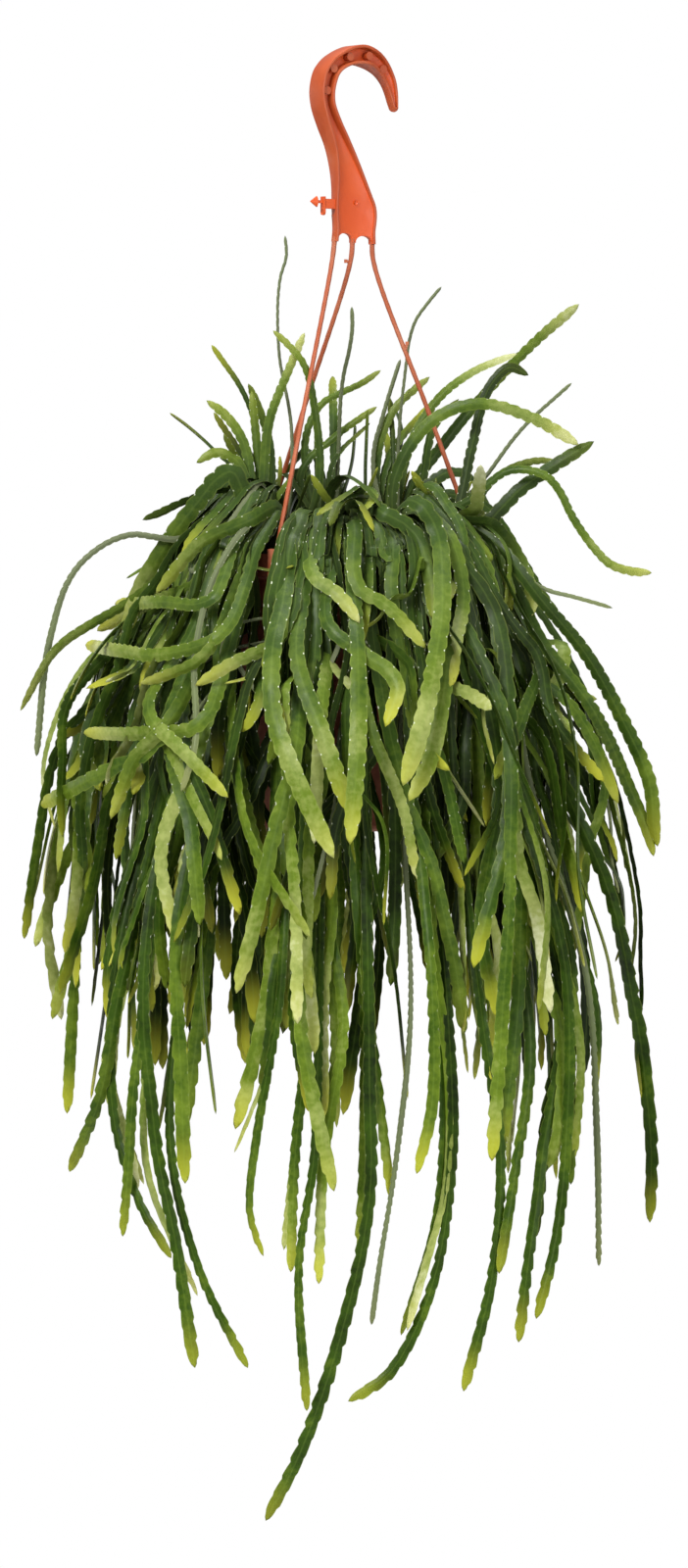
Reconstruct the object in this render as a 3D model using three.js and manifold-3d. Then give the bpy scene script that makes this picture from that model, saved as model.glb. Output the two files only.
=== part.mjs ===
// A lepismium bolivianum in its hanging pot: a moulded plastic hanger with a hook,
// a plate and three arms, a round plastic pot, the soil in it and the plant's
// flat hanging stems, which grow from six rooted clumps.
// Millimetres, +Z up. The origin is the top of the hook's throat, where the hook
// rests on what it hangs from. The front of the plant faces -Y.
import * as THREE from "three";
import { mergeVertices } from "three/addons/utils/BufferGeometryUtils.js";
import Module from "manifold-3d";

const wasm = await Module();
wasm.setup();

// Driving dimensions of the pot
const POT_AXIS_X = -10;
const RIM_TOP_Z = -250;
const RIM_RADIUS = 75;
const POT_HEIGHT = 140;
const POT_BASE_RADIUS = 54;
const POT_WALL = 1.5;
const POT_FLOOR = 2.5;
const LIP_HEIGHT = 12;
const LIP_OVERHANG = 3.8;
const POT_SIDES = 32;
const DRAIN_RADIUS = 4;
const DRAIN_CIRCLE = 30;
const DRAIN_COUNT = 4;

// Driving dimensions of the soil and of the six rooted clumps
const SOIL_TOP_Z = -258;
const SOIL_DOME = 2;
const CLUMP_COUNT = 6;
const CLUMP_CIRCLE = 38;
const CLUMP_RADIUS = 14;
const CLUMP_TOP_Z = -255;
const CLUMP_DEPTH = 46;
const CLUMP_SIDES = 12;
const CROWN_SIZE = [25, 15.5, 30];
const CROWN_Z = -254;
const FOOT_REACH = 13;
const FOOT_SPREAD = 5;
const FIRST_CLUMP_DEG = 35;
const CLEARANCE = 0.3;

// Driving dimensions of the hanger
const HOOK_TURN_DEG = 35;
const HOOK_DEPTH = 12.7;
const TIP_DEPTH = 6.5;
const PLATE_DEPTH = 5;
const WEB_DEPTH = 2.6;
const FLANGE = 1.5;
const PLATE_BOTTOM_Z = -90;
const ARM_SIDE = 2.3;
const ARM_STEPS = 6;
const ARM_ANGLES_DEG = [245, 125, 5];
const ARM_STARTS = [-14.4, -3.7, 8.4];
const CLIP_WIDTH = 6;
const CLIP_WALL = 2;

// Driving dimensions of the stems
const STEM_STEP = 23;
const RIDGE_HEIGHT = 1.4;
const EDGE_DROP = 0.7;
const TOOTH_DEPTH = 0.13;
const SECTOR_HALF_DEG = 30;
const ARM_MARGIN = 4.5;
const NEIGHBOUR_MARGIN = 0.6;
const INNER_RADIUS = 24;
const RIM_GUARD = 23;
const RIM_GUARD_RADIUS = 66;
const OVER_RIM_RADIUS = 52;
const OVER_RIM_Z = -238;
const DRAPE_TOP_Z = -256;
const DRAPE_RADIUS = 86;
const DRAPE_PLACES = 4;
const LAYER = 3.3;
const LAY_ROUNDS = 50;
const SHIFT_CAP = 1.6;

const TERRACOTTA = new THREE.MeshStandardMaterial({ color: 0xe0622f, roughness: 0.5, metalness: 0 });
const TERRACOTTA_DARK = new THREE.MeshStandardMaterial({ color: 0x9c5236, roughness: 0.6, metalness: 0 });
const PEAT = new THREE.MeshStandardMaterial({ color: 0x3a2a1e, roughness: 1, metalness: 0 });
const GREEN = new THREE.MeshStandardMaterial({ color: 0x4f6f31, roughness: 0.55, metalness: 0 });

const MERGE_DISTANCE = 1e-4;
const radians = THREE.MathUtils.degToRad;

// Solids and meshes

// A closed geometry as a solid that can be joined and cut
function solidOf(geometry) {
  const bare = geometry.clone();
  bare.deleteAttribute("normal");
  bare.deleteAttribute("uv");
  const merged = mergeVertices(bare, MERGE_DISTANCE);
  const corners = merged.index.array;
  const kept = [];
  for (let i = 0; i < corners.length; i += 3) {
    const [a, b, c] = [corners[i], corners[i + 1], corners[i + 2]];
    if (a !== b && b !== c && c !== a) {
      kept.push(a, b, c);
    }
  }
  return new wasm.Manifold(new wasm.Mesh({
    numProp: 3,
    vertProperties: new Float32Array(merged.attributes.position.array),
    triVerts: new Uint32Array(kept),
  }));
}

// The largest body of a solid, without the scraps and sealed hollows that joining leaves
function largestBody(solid) {
  return solid.decompose().reduce((best, body) => (body.volume() > best.volume() ? body : best));
}

function meshOf(name, solid, material) {
  const raw = largestBody(solid).getMesh();
  const geometry = new THREE.BufferGeometry();
  geometry.setAttribute("position", new THREE.BufferAttribute(raw.vertProperties, 3));
  geometry.setIndex(new THREE.BufferAttribute(raw.triVerts, 1));
  const mesh = new THREE.Mesh(geometry, material);
  mesh.name = name;
  return mesh;
}

// A profile of [radius, z] points turned about the pot's axis
function turned(profile, sides) {
  const lathe = new THREE.LatheGeometry(profile.map(([r, z]) => new THREE.Vector2(r, z)), sides);
  lathe.rotateX(Math.PI / 2);
  lathe.translate(POT_AXIS_X, 0, 0);
  return solidOf(lathe);
}

// An upright cylinder between two heights
function post(x, y, bottom, top, radius, sides) {
  const cylinder = new THREE.CylinderGeometry(radius, radius, top - bottom, sides);
  cylinder.rotateX(Math.PI / 2);
  cylinder.translate(x, y, (top + bottom) / 2);
  return solidOf(cylinder);
}

// A point round the pot's axis
function aroundPot(radius, angleDeg, z) {
  const angle = radians(angleDeg);
  return new THREE.Vector3(POT_AXIS_X + radius * Math.cos(angle), radius * Math.sin(angle), z);
}

// Pot and soil

const potBottomZ = RIM_TOP_Z - POT_HEIGHT;
const lipBottomZ = RIM_TOP_Z - LIP_HEIGHT;
const wallTopRadius = RIM_RADIUS - LIP_OVERHANG - POT_WALL;
const lipSlope = 1.7;

function makePot() {
  const pot = turned([
    [0, potBottomZ],
    [POT_BASE_RADIUS - 2, potBottomZ],
    [POT_BASE_RADIUS, potBottomZ + 2],
    [wallTopRadius, lipBottomZ],
    [RIM_RADIUS - lipSlope, lipBottomZ],
    [RIM_RADIUS, RIM_TOP_Z - 1],
    [RIM_RADIUS - 0.8, RIM_TOP_Z],
    [RIM_RADIUS - LIP_OVERHANG, RIM_TOP_Z],
    [wallTopRadius - POT_WALL, lipBottomZ - 2],
    [POT_BASE_RADIUS - POT_WALL, potBottomZ + POT_FLOOR],
    [0, potBottomZ + POT_FLOOR],
  ], POT_SIDES);
  let drained = pot;
  for (let i = 0; i < DRAIN_COUNT; i += 1) {
    const hole = aroundPot(DRAIN_CIRCLE, (360 * i) / DRAIN_COUNT + 45, 0);
    drained = drained.subtract(
      post(hole.x, hole.y, potBottomZ - 1, potBottomZ + POT_FLOOR + 1, DRAIN_RADIUS, 10));
  }
  return meshOf("pot", drained, TERRACOTTA_DARK);
}

function clumpCentre(k) {
  return aroundPot(CLUMP_CIRCLE, FIRST_CLUMP_DEG + (360 / CLUMP_COUNT) * k, 0);
}

function makeSoil() {
  const seat = CLEARANCE + 0.1;
  let soil = turned([
    [0, potBottomZ + POT_FLOOR + CLEARANCE],
    [POT_BASE_RADIUS - POT_WALL - seat, potBottomZ + POT_FLOOR + CLEARANCE],
    [wallTopRadius - POT_WALL - seat, lipBottomZ - 2],
    [wallTopRadius - POT_WALL - seat, SOIL_TOP_Z - 1],
    [CLUMP_CIRCLE, SOIL_TOP_Z],
    [0, SOIL_TOP_Z + SOIL_DOME],
  ], POT_SIDES);
  for (let k = 0; k < CLUMP_COUNT; k += 1) {
    const centre = clumpCentre(k);
    const floor = CLUMP_TOP_Z - CLUMP_DEPTH - CLEARANCE;
    soil = soil.subtract(
      post(centre.x, centre.y, floor, SOIL_TOP_Z + 10, CLUMP_RADIUS + CLEARANCE + 0.2, CLUMP_SIDES));
  }
  return meshOf("soil", soil, PEAT);
}

// Hanger

// Middle line of the hook in its own plane, from the tip to the plate: across, up, half width
const HOOK_LINE = [
  [19.3, -19.6, 2.2],
  [17.9, -12.5, 4.3],
  [15.6, -6.0, 5.4],
  [10.9, 0.4, 6.0],
  [4.3, 4.7, 5.8],
  [-2.0, 6.0, 5.7],
  [-9.9, 4.4, 5.0],
  [-16.6, -0.3, 4.4],
  [-20.4, -5.8, 4.0],
  [-22.0, -12.5, 3.9],
  [-20.9, -20.5, 4.0],
  [-17.2, -29.5, 4.7],
  [-12.9, -39.0, 5.7],
  [-9.0, -49.5, 7.0],
  [-5.6, -60.0, 9.3],
  [-3.2, -70.0, 12.2],
  [-2.6, -75.0, 13.0],
  [-3.4, -82.0, 12.6],
  [-3.6, PLATE_BOTTOM_Z, 12.3],
];
const HOOK_STEPS = 36;
const hookCurve = new THREE.CatmullRomCurve3(HOOK_LINE.map((row) => new THREE.Vector3(...row)));

// Depth of the hook's section, which thins toward its tip and toward the plate
function hookDepth(across, up) {
  const towardTip = THREE.MathUtils.smoothstep(across, 4, 21);
  const towardPlate = THREE.MathUtils.smoothstep(-up, 18, 74);
  const tipPart = (HOOK_DEPTH - TIP_DEPTH) * towardTip * (1 - towardPlate);
  return HOOK_DEPTH - tipPart - (HOOK_DEPTH - PLATE_DEPTH) * towardPlate;
}

// Outline of the hook between two places on its line, drawn in by an inset
function hookOutline(from, to, inset, roundTip) {
  const left = [];
  const right = [];
  const steps = Math.max(1, Math.round((to - from) * HOOK_STEPS));
  for (let i = 0; i <= steps; i += 1) {
    const t = from + ((to - from) * i) / steps;
    const place = hookCurve.getPoint(t);
    const along = hookCurve.getTangent(t);
    const across = new THREE.Vector2(along.x, along.y).normalize();
    const half = place.z - inset;
    left.push(new THREE.Vector2(place.x + across.y * half, place.y - across.x * half));
    right.push(new THREE.Vector2(place.x - across.y * half, place.y + across.x * half));
  }
  const outline = [...left, ...right.reverse()];
  if (roundTip) {
    const tip = hookCurve.getPoint(0);
    outline.push(new THREE.Vector2(tip.x - tip.z * 0.5, tip.y - tip.z * 0.75));
    outline.push(new THREE.Vector2(tip.x + tip.z * 0.25, tip.y - tip.z));
    outline.push(new THREE.Vector2(tip.x + tip.z * 0.85, tip.y - tip.z * 0.6));
  }
  return new THREE.Shape(outline);
}

// A flat shape in the hook's plane, given the depth that the hook has at each point
function hookSlab(shape, depthAt) {
  const slab = new THREE.ExtrudeGeometry(shape, { depth: 1, bevelEnabled: false });
  const places = slab.attributes.position;
  for (let i = 0; i < places.count; i += 1) {
    const depth = depthAt(places.getX(i), places.getY(i));
    places.setZ(i, (places.getZ(i) - 0.5) * depth);
  }
  return solidOf(slab);
}

// From the hook's own plane to the part's frame
function turnHook(geometry) {
  geometry.rotateX(Math.PI / 2);
  geometry.rotateZ(radians(HOOK_TURN_DEG));
  return geometry;
}

function hookPoint(across, up, forward = 0) {
  const turn = radians(HOOK_TURN_DEG);
  return new THREE.Vector3(
    across * Math.cos(turn) + forward * Math.sin(turn),
    across * Math.sin(turn) - forward * Math.cos(turn),
    up);
}

const POCKETS = [
  [0.055, 0.12], [0.135, 0.172], [0.187, 0.222], [0.237, 0.272], [0.287, 0.322],
  [0.337, 0.372], [0.387, 0.422], [0.437, 0.472], [0.49, 0.9],
];
const PEG_Z = -69.5;
const PLATE_LEFT = -15.6;

// The hook and its plate, with pockets moulded in both faces between cross ribs
function makeHookBody() {
  const turn = new THREE.Matrix4().makeRotationZ(radians(HOOK_TURN_DEG));
  turn.multiply(new THREE.Matrix4().makeRotationX(Math.PI / 2));
  let body = hookSlab(hookOutline(0, 1, 0, true), hookDepth);
  for (const [from, to] of POCKETS) {
    const outline = hookOutline(from, to, FLANGE, false);
    for (const face of [-1, 1]) {
      const pocket = new THREE.ExtrudeGeometry(outline, { depth: HOOK_DEPTH, bevelEnabled: false });
      pocket.translate(0, 0, face > 0 ? WEB_DEPTH / 2 : -WEB_DEPTH / 2 - HOOK_DEPTH);
      body = body.subtract(solidOf(pocket));
    }
  }
  for (const [across, top] of [[-9.1, -84.5], [2.4, -85.5]]) {
    const archRadius = 4.5;
    const arch = new THREE.CylinderGeometry(archRadius, archRadius, HOOK_DEPTH, 14);
    arch.rotateX(Math.PI / 2);
    arch.translate(across, top - archRadius, 0);
    body = body.subtract(solidOf(arch));
  }
  return body.transform(turn.toArray());
}

// The snap peg on the plate's left edge: block, cross plate, shaft and barbed head
function makePeg() {
  const pieces = [
    [new THREE.BoxGeometry(5, 5.5, 3), PLATE_LEFT - 2, -0.2],
    [new THREE.BoxGeometry(3, 9.5, 3.4), PLATE_LEFT - 5.6, -1.2],
    [new THREE.BoxGeometry(4, 1.6, 1.6), PLATE_LEFT - 8.6, 0],
  ];
  const head = new THREE.ConeGeometry(2.7, 4.6, 10);
  head.rotateZ(Math.PI / 2);
  pieces.push([head, PLATE_LEFT - 12, 0]);
  return pieces.map(([geometry, across, up]) => {
    geometry.translate(across, PEG_Z + up, 0);
    return solidOf(turnHook(geometry));
  });
}

// A square bar along a curve
function bar(points, side, steps) {
  const half = side / 2;
  const square = new THREE.Shape([
    new THREE.Vector2(-half, -half), new THREE.Vector2(half, -half),
    new THREE.Vector2(half, half), new THREE.Vector2(-half, half),
  ]);
  const path = new THREE.CatmullRomCurve3(points);
  return solidOf(new THREE.ExtrudeGeometry(square, { steps, extrudePath: path, bevelEnabled: false }));
}

// The clip at an arm's foot, which grips the pot's lip from above, outside and below
function makeClip(angleDeg) {
  const inner = RIM_RADIUS - 5.5;
  const outer = RIM_RADIUS + 0.5;
  const top = RIM_TOP_Z + CLEARANCE;
  const toe = lipBottomZ - CLEARANCE;
  const outline = new THREE.Shape([
    new THREE.Vector2(inner, top), new THREE.Vector2(outer, top),
    new THREE.Vector2(outer, toe), new THREE.Vector2(RIM_RADIUS - 3.2, toe),
    new THREE.Vector2(RIM_RADIUS - 3.2, toe - CLIP_WALL),
    new THREE.Vector2(outer + CLIP_WALL, toe - CLIP_WALL),
    new THREE.Vector2(outer + CLIP_WALL, top + CLIP_WALL),
    new THREE.Vector2(inner, top + CLIP_WALL),
  ]);
  const clip = new THREE.ExtrudeGeometry(outline, { depth: CLIP_WIDTH, bevelEnabled: false });
  clip.translate(0, 0, -CLIP_WIDTH / 2);
  clip.rotateX(Math.PI / 2);
  clip.rotateZ(radians(angleDeg));
  clip.translate(POT_AXIS_X, 0, 0);
  return solidOf(clip);
}

function armPoints(i) {
  const top = hookPoint(ARM_STARTS[i], PLATE_BOTTOM_Z + 4);
  const neck = hookPoint(ARM_STARTS[i], PLATE_BOTTOM_Z - 7);
  const foot = aroundPot(RIM_RADIUS - 2, ARM_ANGLES_DEG[i], RIM_TOP_Z + CLEARANCE + 1);
  const middle = neck.clone().lerp(foot, 0.5);
  return [top, neck, middle, foot];
}

// Small moulded beads on two of the arms: arm, share of the way down, radius
const BEADS = [[1, 0.06, 1.9], [2, 0.33, 2.1]];

function makeHanger() {
  let hanger = makeHookBody();
  for (const piece of makePeg()) {
    hanger = hanger.add(piece);
  }
  const dot = new THREE.CylinderGeometry(1.1, 1.1, PLATE_DEPTH + 1, 8);
  dot.rotateX(Math.PI / 2);
  dot.translate(-3.5, PEG_Z, 0);
  hanger = hanger.add(solidOf(turnHook(dot)));
  ARM_ANGLES_DEG.forEach((angle, i) => {
    hanger = hanger.add(bar(armPoints(i), ARM_SIDE, ARM_STEPS)).add(makeClip(angle));
  });
  for (const [arm, share, radius] of BEADS) {
    const place = new THREE.CatmullRomCurve3(armPoints(arm)).getPointAt(share);
    const bead = new THREE.SphereGeometry(radius, 6, 5);
    bead.translate(place.x, place.y, place.z);
    hanger = hanger.add(solidOf(bead));
  }
  return meshOf("hanger", hanger, TERRACOTTA);
}

// Stems

// Every random draw comes from this seeded sequence
const SEED = 20417;
let drawState = SEED;
function draw() {
  drawState = (Math.imul(drawState, 1664525) + 1013904223) >>> 0;
  return drawState / 4294967296;
}

// Outer radius of the mop of stems at each height: height, radius. It starts lower on
// its right side.
const MOP = [
  [-90, 40], [-170, 58], [-216, 78], [-240, 92], [-266, 109], [-316, 138], [-366, 151],
  [-430, 155], [-620, 150], [-750, 120],
];
const MOP_LEAN = 14;
function mopRadius(z, angleDeg = 90) {
  const height = z + MOP_LEAN * Math.cos(radians(angleDeg));
  let above = MOP[0];
  for (const row of MOP) {
    if (height >= row[0]) {
      const share = (above[0] - height) / Math.max(above[0] - row[0], 1);
      return above[1] + (row[1] - above[1]) * share;
    }
    above = row;
  }
  return above[1];
}

// Stems that stand up out of the crown, as seen from the front:
// clump, width, depth at the tip, then [across, up] from the clump to the tip
const RISING = [
  [3, 2.6, -16, [[-34, -216], [-34, -182], [-40, -147], [-40, -112], [-36, -95], [-37, -87]]],
  [3, 6.0, -30, [[-20, -215], [-22, -175], [-28, -152], [-43, -136]]],
  [3, 7.0, -27, [[-47, -206], [-45, -182], [-36, -158], [-27, -137]]],
  [1, 3.2, 28, [[-10, -200], [-8, -161], [-3, -136], [-3, -121]]],
  [0, 2.6, 24, [[21, -190], [24, -158], [29, -130], [43, -111]]],
  [0, 3.4, 27, [[9, -200], [14, -174], [22, -148]]],
  [1, 6.0, 44, [[-27, -190], [-18, -170], [0, -161], [12, -153]]],
  [0, 6.5, 30, [[8, -205], [18, -175], [37, -157]]],
  [1, 6.0, 38, [[-29, -206], [-12, -188], [10, -172]]],
  [3, 7.5, -18, [[-57, -196], [-66, -180], [-77, -171]]],
  [2, 6.5, 16, [[-44, -200], [-48, -181], [-56, -161]]],
  [3, 6.5, -14, [[-50, -210], [-52, -187], [-54, -166]]],
  [3, 7.5, -25, [[-58, -205], [-68, -197], [-82, -203]]],
  [0, 8.5, 44, [[26, -220], [45, -190], [73, -157], [95, -135], [114, -119]]],
  [0, 7.5, 32, [[22, -205], [40, -170], [60, -154], [82, -145]]],
  [5, 8.0, -12, [[52, -220], [58, -195], [66, -166], [77, -154], [87, -158]]],
  [5, 9.5, -28, [[18, -215], [36, -183], [61, -173], [90, -181], [112, -194]]],
  [0, 3.2, 34, [[60, -215], [84, -184], [110, -160]]],
  [5, 11.0, -24, [[62, -236], [82, -217], [102, -203], [120, -192]]],
  [0, 6.5, 24, [[58, -222], [72, -208], [88, -201], [101, -200]]],
  [5, 6.5, -34, [[56, -222], [77, -207], [97, -211], [112, -236], [130, -256], [149, -259]]],
  [5, 4.0, -40, [[70, -250], [92, -266], [112, -272], [129, -277]]],
  [5, 10.0, -58, [[58, -228], [61, -216], [62, -205]]],
  [3, 5.0, -30, [[-90, -242], [-118, -240], [-143, -257], [-156, -292], [-163, -352]]],
  [3, 8.5, -34, [[-100, -262], [-133, -283], [-154, -299], [-171, -329]]],
];

// Stems that arch out and hang, as seen from the front: width, share of the mop's
// radius, then [across, up] from the first place where they show to the tip
const HANGING = [
  [11.0, 0.97, [[30, -222], [40, -236], [43, -270], [40, -300], [33, -335], [23, -367]]],
  [9.5, 0.90, [[46, -300], [43, -325], [36, -355], [26, -375]]],
  [10.0, 0.88, [[12, -228], [27, -238], [35, -260], [38, -282]]],
  [9.5, 0.92, [[56, -256], [70, -279], [77, -325], [76, -391], [66, -433], [59, -460]]],
  [10.0, 0.92, [[61, -230], [73, -238], [84, -256], [93, -280]]],
  [8.5, 1.00, [[94, -272], [116, -299], [134, -331], [150, -368], [153, -398]]],
  [8.0, 0.96, [[118, -325], [138, -367], [151, -403]]],
  [9.0, 0.93, [[0, -266], [16, -276], [35, -297]]],
  [9.0, 0.90, [[54, -270], [48, -300], [46, -317]]],
  [9.0, 0.97, [[-15, -285], [4, -300], [20, -314], [14, -337]]],
  [11.0, 0.95, [[-65, -206], [-85, -226], [-106, -258], [-121, -292]]],
  [9.0, 1.00, [[-58, -233], [-80, -243], [-103, -269]]],
  [8.0, 0.98, [[-70, -290], [-100, -300], [-120, -298], [-139, -295]]],
  [8.0, 0.90, [[-80, -262], [-105, -273], [-133, -288]]],
  [8.5, 0.97, [[-42, -292], [-62, -303], [-83, -316]]],
  [8.0, 0.98, [[-75, -272], [-100, -273], [-124, -274]]],
  [8.5, 0.97, [[-80, -335], [-110, -340], [-140, -340]]],
  [8.0, 0.99, [[-78, -300], [-94, -309], [-111, -315]]],
  [9.5, 0.98, [[-105, -345], [-130, -360], [-162, -377]]],
  [9.0, 0.97, [[-96, -335], [-113, -354], [-126, -384]]],
  [4.0, 0.96, [[-57, -235], [-74, -263], [-83, -300], [-83, -345], [-90, -370]]],
  [8.0, 1.00, [[-107, -327], [-88, -350], [-66, -373]]],
  [11.0, 1.00, [[-43, -300], [-43, -330], [-30, -366], [-12, -404]]],
  [10.0, 0.98, [[-33, -350], [-42, -389], [-51, -430], [-62, -473]]],
  [10.0, 0.95, [[-32, -300], [-18, -340], [-4, -381]]],
  [10.0, 0.98, [[0, -300], [0, -350], [-4, -397]]],
  [9.0, 0.97, [[-23, -259], [-9, -270], [1, -284]]],
  [10.0, 0.74, [[5, -445], [6, -516], [6, -577], [-8, -645], [-29, -706], [-47, -742]]],
  [6.5, 0.80, [[-20, -500], [-22, -555], [-30, -612], [-26, -686]]],
  [8.5, 0.90, [[-30, -480], [-20, -539], [-12, -574]]],
  [6.0, 0.78, [[-40, -480], [-51, -542], [-55, -585], [-48, -607]]],
  [3.4, 0.74, [[27, -480], [20, -555], [11, -612], [7, -642]]],
  [6.5, 0.82, [[46, -480], [48, -560], [38, -622], [16, -667], [-5, -681]]],
  [7.0, 0.92, [[38, -470], [38, -530], [30, -565]]],
  [6.5, 0.85, [[64, -490], [73, -555], [68, -620], [54, -676]]],
  [7.0, 0.88, [[88, -500], [80, -565], [72, -616]]],
  [7.0, 0.90, [[104, -480], [94, -560], [87, -610], [82, -651]]],
  [7.0, 0.95, [[106, -460], [106, -555], [101, -600], [91, -639]]],
  [4.0, 0.96, [[116, -460], [122, -545], [123, -612]]],
  [9.0, 1.00, [[128, -420], [142, -486], [150, -550], [149, -590]]],
  [7.5, 0.96, [[-120, -460], [-131, -523], [-147, -564]]],
  [6.5, 0.93, [[-121, -440], [-125, -530], [-112, -578], [-95, -608]]],
  [7.5, 0.92, [[-106, -430], [-104, -540], [-93, -600], [-83, -664]]],
  [6.0, 0.86, [[-96, -540], [-82, -611], [-56, -664]]],
  [8.5, 0.93, [[-92, -440], [-90, -520], [-88, -570]]],
  [6.0, 0.97, [[-110, -470], [-117, -560], [-120, -597]]],
];

// Smallest turn from one angle to another, in degrees
function turnBetween(from, to) {
  return ((((to - from) % 360) + 540) % 360) - 180;
}

function clumpAngle(k) {
  return FIRST_CLUMP_DEG + (360 / CLUMP_COUNT) * k;
}

// Round the pot's axis: radius and angle of a point
function radiusOf(point) {
  return Math.hypot(point.x - POT_AXIS_X, point.y);
}
function angleOf(point) {
  return THREE.MathUtils.radToDeg(Math.atan2(point.y, point.x - POT_AXIS_X));
}

function clumpAt(angleDeg) {
  let nearest = 0;
  for (let k = 1; k < CLUMP_COUNT; k += 1) {
    if (Math.abs(turnBetween(clumpAngle(k), angleDeg)) < Math.abs(turnBetween(clumpAngle(nearest), angleDeg))) {
      nearest = k;
    }
  }
  return nearest;
}

function risingStem([clump, width, tipDepth, route]) {
  const points = [];
  const start = clumpCentre(clump).y;
  route.forEach(([x, z], i) => {
    const share = Math.min(1, (i + 1) / Math.min(3, route.length));
    points.push(new THREE.Vector3(x, start + (tipDepth - start) * share, z));
  });
  if (radiusOf(points[0]) > RIM_GUARD_RADIUS) {
    points.unshift(aroundPot(OVER_RIM_RADIUS, angleOf(points[0]), OVER_RIM_Z + 6));
  }
  return { clump, width, points, shown: true, roll: (draw() - 0.5) * 36 };
}

function hangingStem([width, share, route]) {
  const shown = route.map(([x, z]) => {
    const reach = mopRadius(z) * share;
    const side = x - POT_AXIS_X;
    const depth = Math.sqrt(Math.max(reach * reach - side * side, 64));
    return new THREE.Vector3(x, -depth, z);
  });
  const angle = angleOf(shown[0]);
  const clump = clumpAt(angleOf(shown[Math.floor(shown.length / 2)]));
  const points = [];
  const first = radiusOf(shown[0]);
  const lift = draw() * 12;
  if (first > 68) {
    points.push(aroundPot(OVER_RIM_RADIUS + lift / 2, angle, OVER_RIM_Z + lift));
  }
  const top = shown[0].z;
  if (top < -262) {
    points.push(aroundPot(DRAPE_RADIUS, angle, Math.max(DRAPE_TOP_Z, top + 30)));
  }
  if (top < -310) {
    points.push(aroundPot(DRAPE_RADIUS + (first - DRAPE_RADIUS) * 0.4, angle, (DRAPE_TOP_Z + top) / 2));
  }
  points.push(...shown);
  return { clump, width, points, shown: true, roll: (draw() - 0.5) * 36 };
}

// Places of a stem that passes over the rim at the apex, slants out to its share of the
// mop's radius over a height, then hangs, drifts round as it falls and kicks out at its tip
function draped(angle, share, end, drift, apex, slant, kick) {
  const points = [aroundPot(OVER_RIM_RADIUS, angle, apex)];
  for (let i = 1; i <= DRAPE_PLACES; i += 1) {
    const t = i / DRAPE_PLACES;
    const z = DRAPE_TOP_Z + (end - DRAPE_TOP_Z) * t;
    const course = angle + drift * t;
    const out = Math.min(1, (DRAPE_TOP_Z + 12 - z) / slant);
    const radius = DRAPE_RADIUS + (mopRadius(z, course) * share - DRAPE_RADIUS) * out;
    points.push(aroundPot(radius + kick * t * t, course, z));
  }
  return points;
}

// The crown is low at the front, so that its stems start lower there
const APEX_RANGE = [34, 34, 34, 30, 12, 26];

// A stem by rule: it rises from its clump, passes over the rim and hangs
function ruledStem(clump) {
  const angle = clumpAngle(clump) + (draw() - 0.5) * 54;
  const share = 0.7 + 0.3 * Math.pow(draw(), 0.7);
  const end = -300 - 290 * Math.pow(draw(), 1.4);
  const drift = (draw() - 0.5) * 26;
  const apex = OVER_RIM_Z - 4 + APEX_RANGE[clump] * draw();
  const slant = 20 + 110 * draw();
  const kick = 24 * Math.pow(draw(), 2);
  const width = 6.5 + 3.5 * draw();
  const points = draped(angle, share, end, drift, apex, slant, kick);
  return { clump, width, points, shown: false, roll: (draw() - 0.5) * 50 };
}

// A young stem by rule, which stands up out of the crown
function ruledShoot(clump) {
  const angle = clumpAngle(clump) + (draw() - 0.5) * 40;
  const height = -205 + 55 * draw();
  const reach = 50 + 42 * draw();
  const width = 5 + 3 * draw();
  const points = [];
  points.push(aroundPot(44, angle, -228));
  points.push(aroundPot(reach * 0.8, angle, height - 14));
  points.push(aroundPot(reach, angle, height));
  return { clump, width, points, shown: false, roll: (draw() - 0.5) * 50 };
}

// Keeps a place on a stem clear of the pot, the soil, the arms and the next clump's stems
function keepClear(place, clump, half, over) {
  let radius = Math.max(radiusOf(place), INNER_RADIUS);
  let z = place.z;
  const fromRim = Math.hypot(radius - RIM_GUARD_RADIUS, z - lipBottomZ);
  const clearOfRim = RIM_GUARD + half;
  if (fromRim < clearOfRim && (over || z > lipBottomZ)) {
    radius = RIM_GUARD_RADIUS + ((radius - RIM_GUARD_RADIUS) * clearOfRim) / fromRim;
    z = lipBottomZ + (Math.abs(z - lipBottomZ) * clearOfRim) / fromRim;
  }
  if (over && z < RIM_TOP_Z + 3) {
    radius = Math.max(radius, RIM_RADIUS + 5 + half);
  }
  if (radius < RIM_GUARD_RADIUS) {
    z = Math.max(z, SOIL_TOP_Z + half + 4);
  }
  const centre = clumpAngle(clump);
  const nearArms = radius < RIM_RADIUS + 8;
  const margin = half + (nearArms ? ARM_MARGIN : NEIGHBOUR_MARGIN);
  const room = SECTOR_HALF_DEG - THREE.MathUtils.radToDeg(Math.asin(Math.min(1, margin / radius)));
  const turn = turnBetween(centre, angleOf(place));
  const kept = THREE.MathUtils.clamp(turn, -Math.max(room, 0), Math.max(room, 0));
  return aroundPot(radius, centre + kept, z);
}

// Half width along a stem: a narrow foot, then full width, then a blunt tip
function halfWidthAt(share, width) {
  const foot = Math.min(1, 0.36 + 2.2 * share);
  const tip = share > 0.88 ? Math.sqrt(1 - 0.86 * Math.pow((share - 0.88) / 0.12, 2)) : 1;
  return (width / 2) * foot * tip;
}

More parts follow.
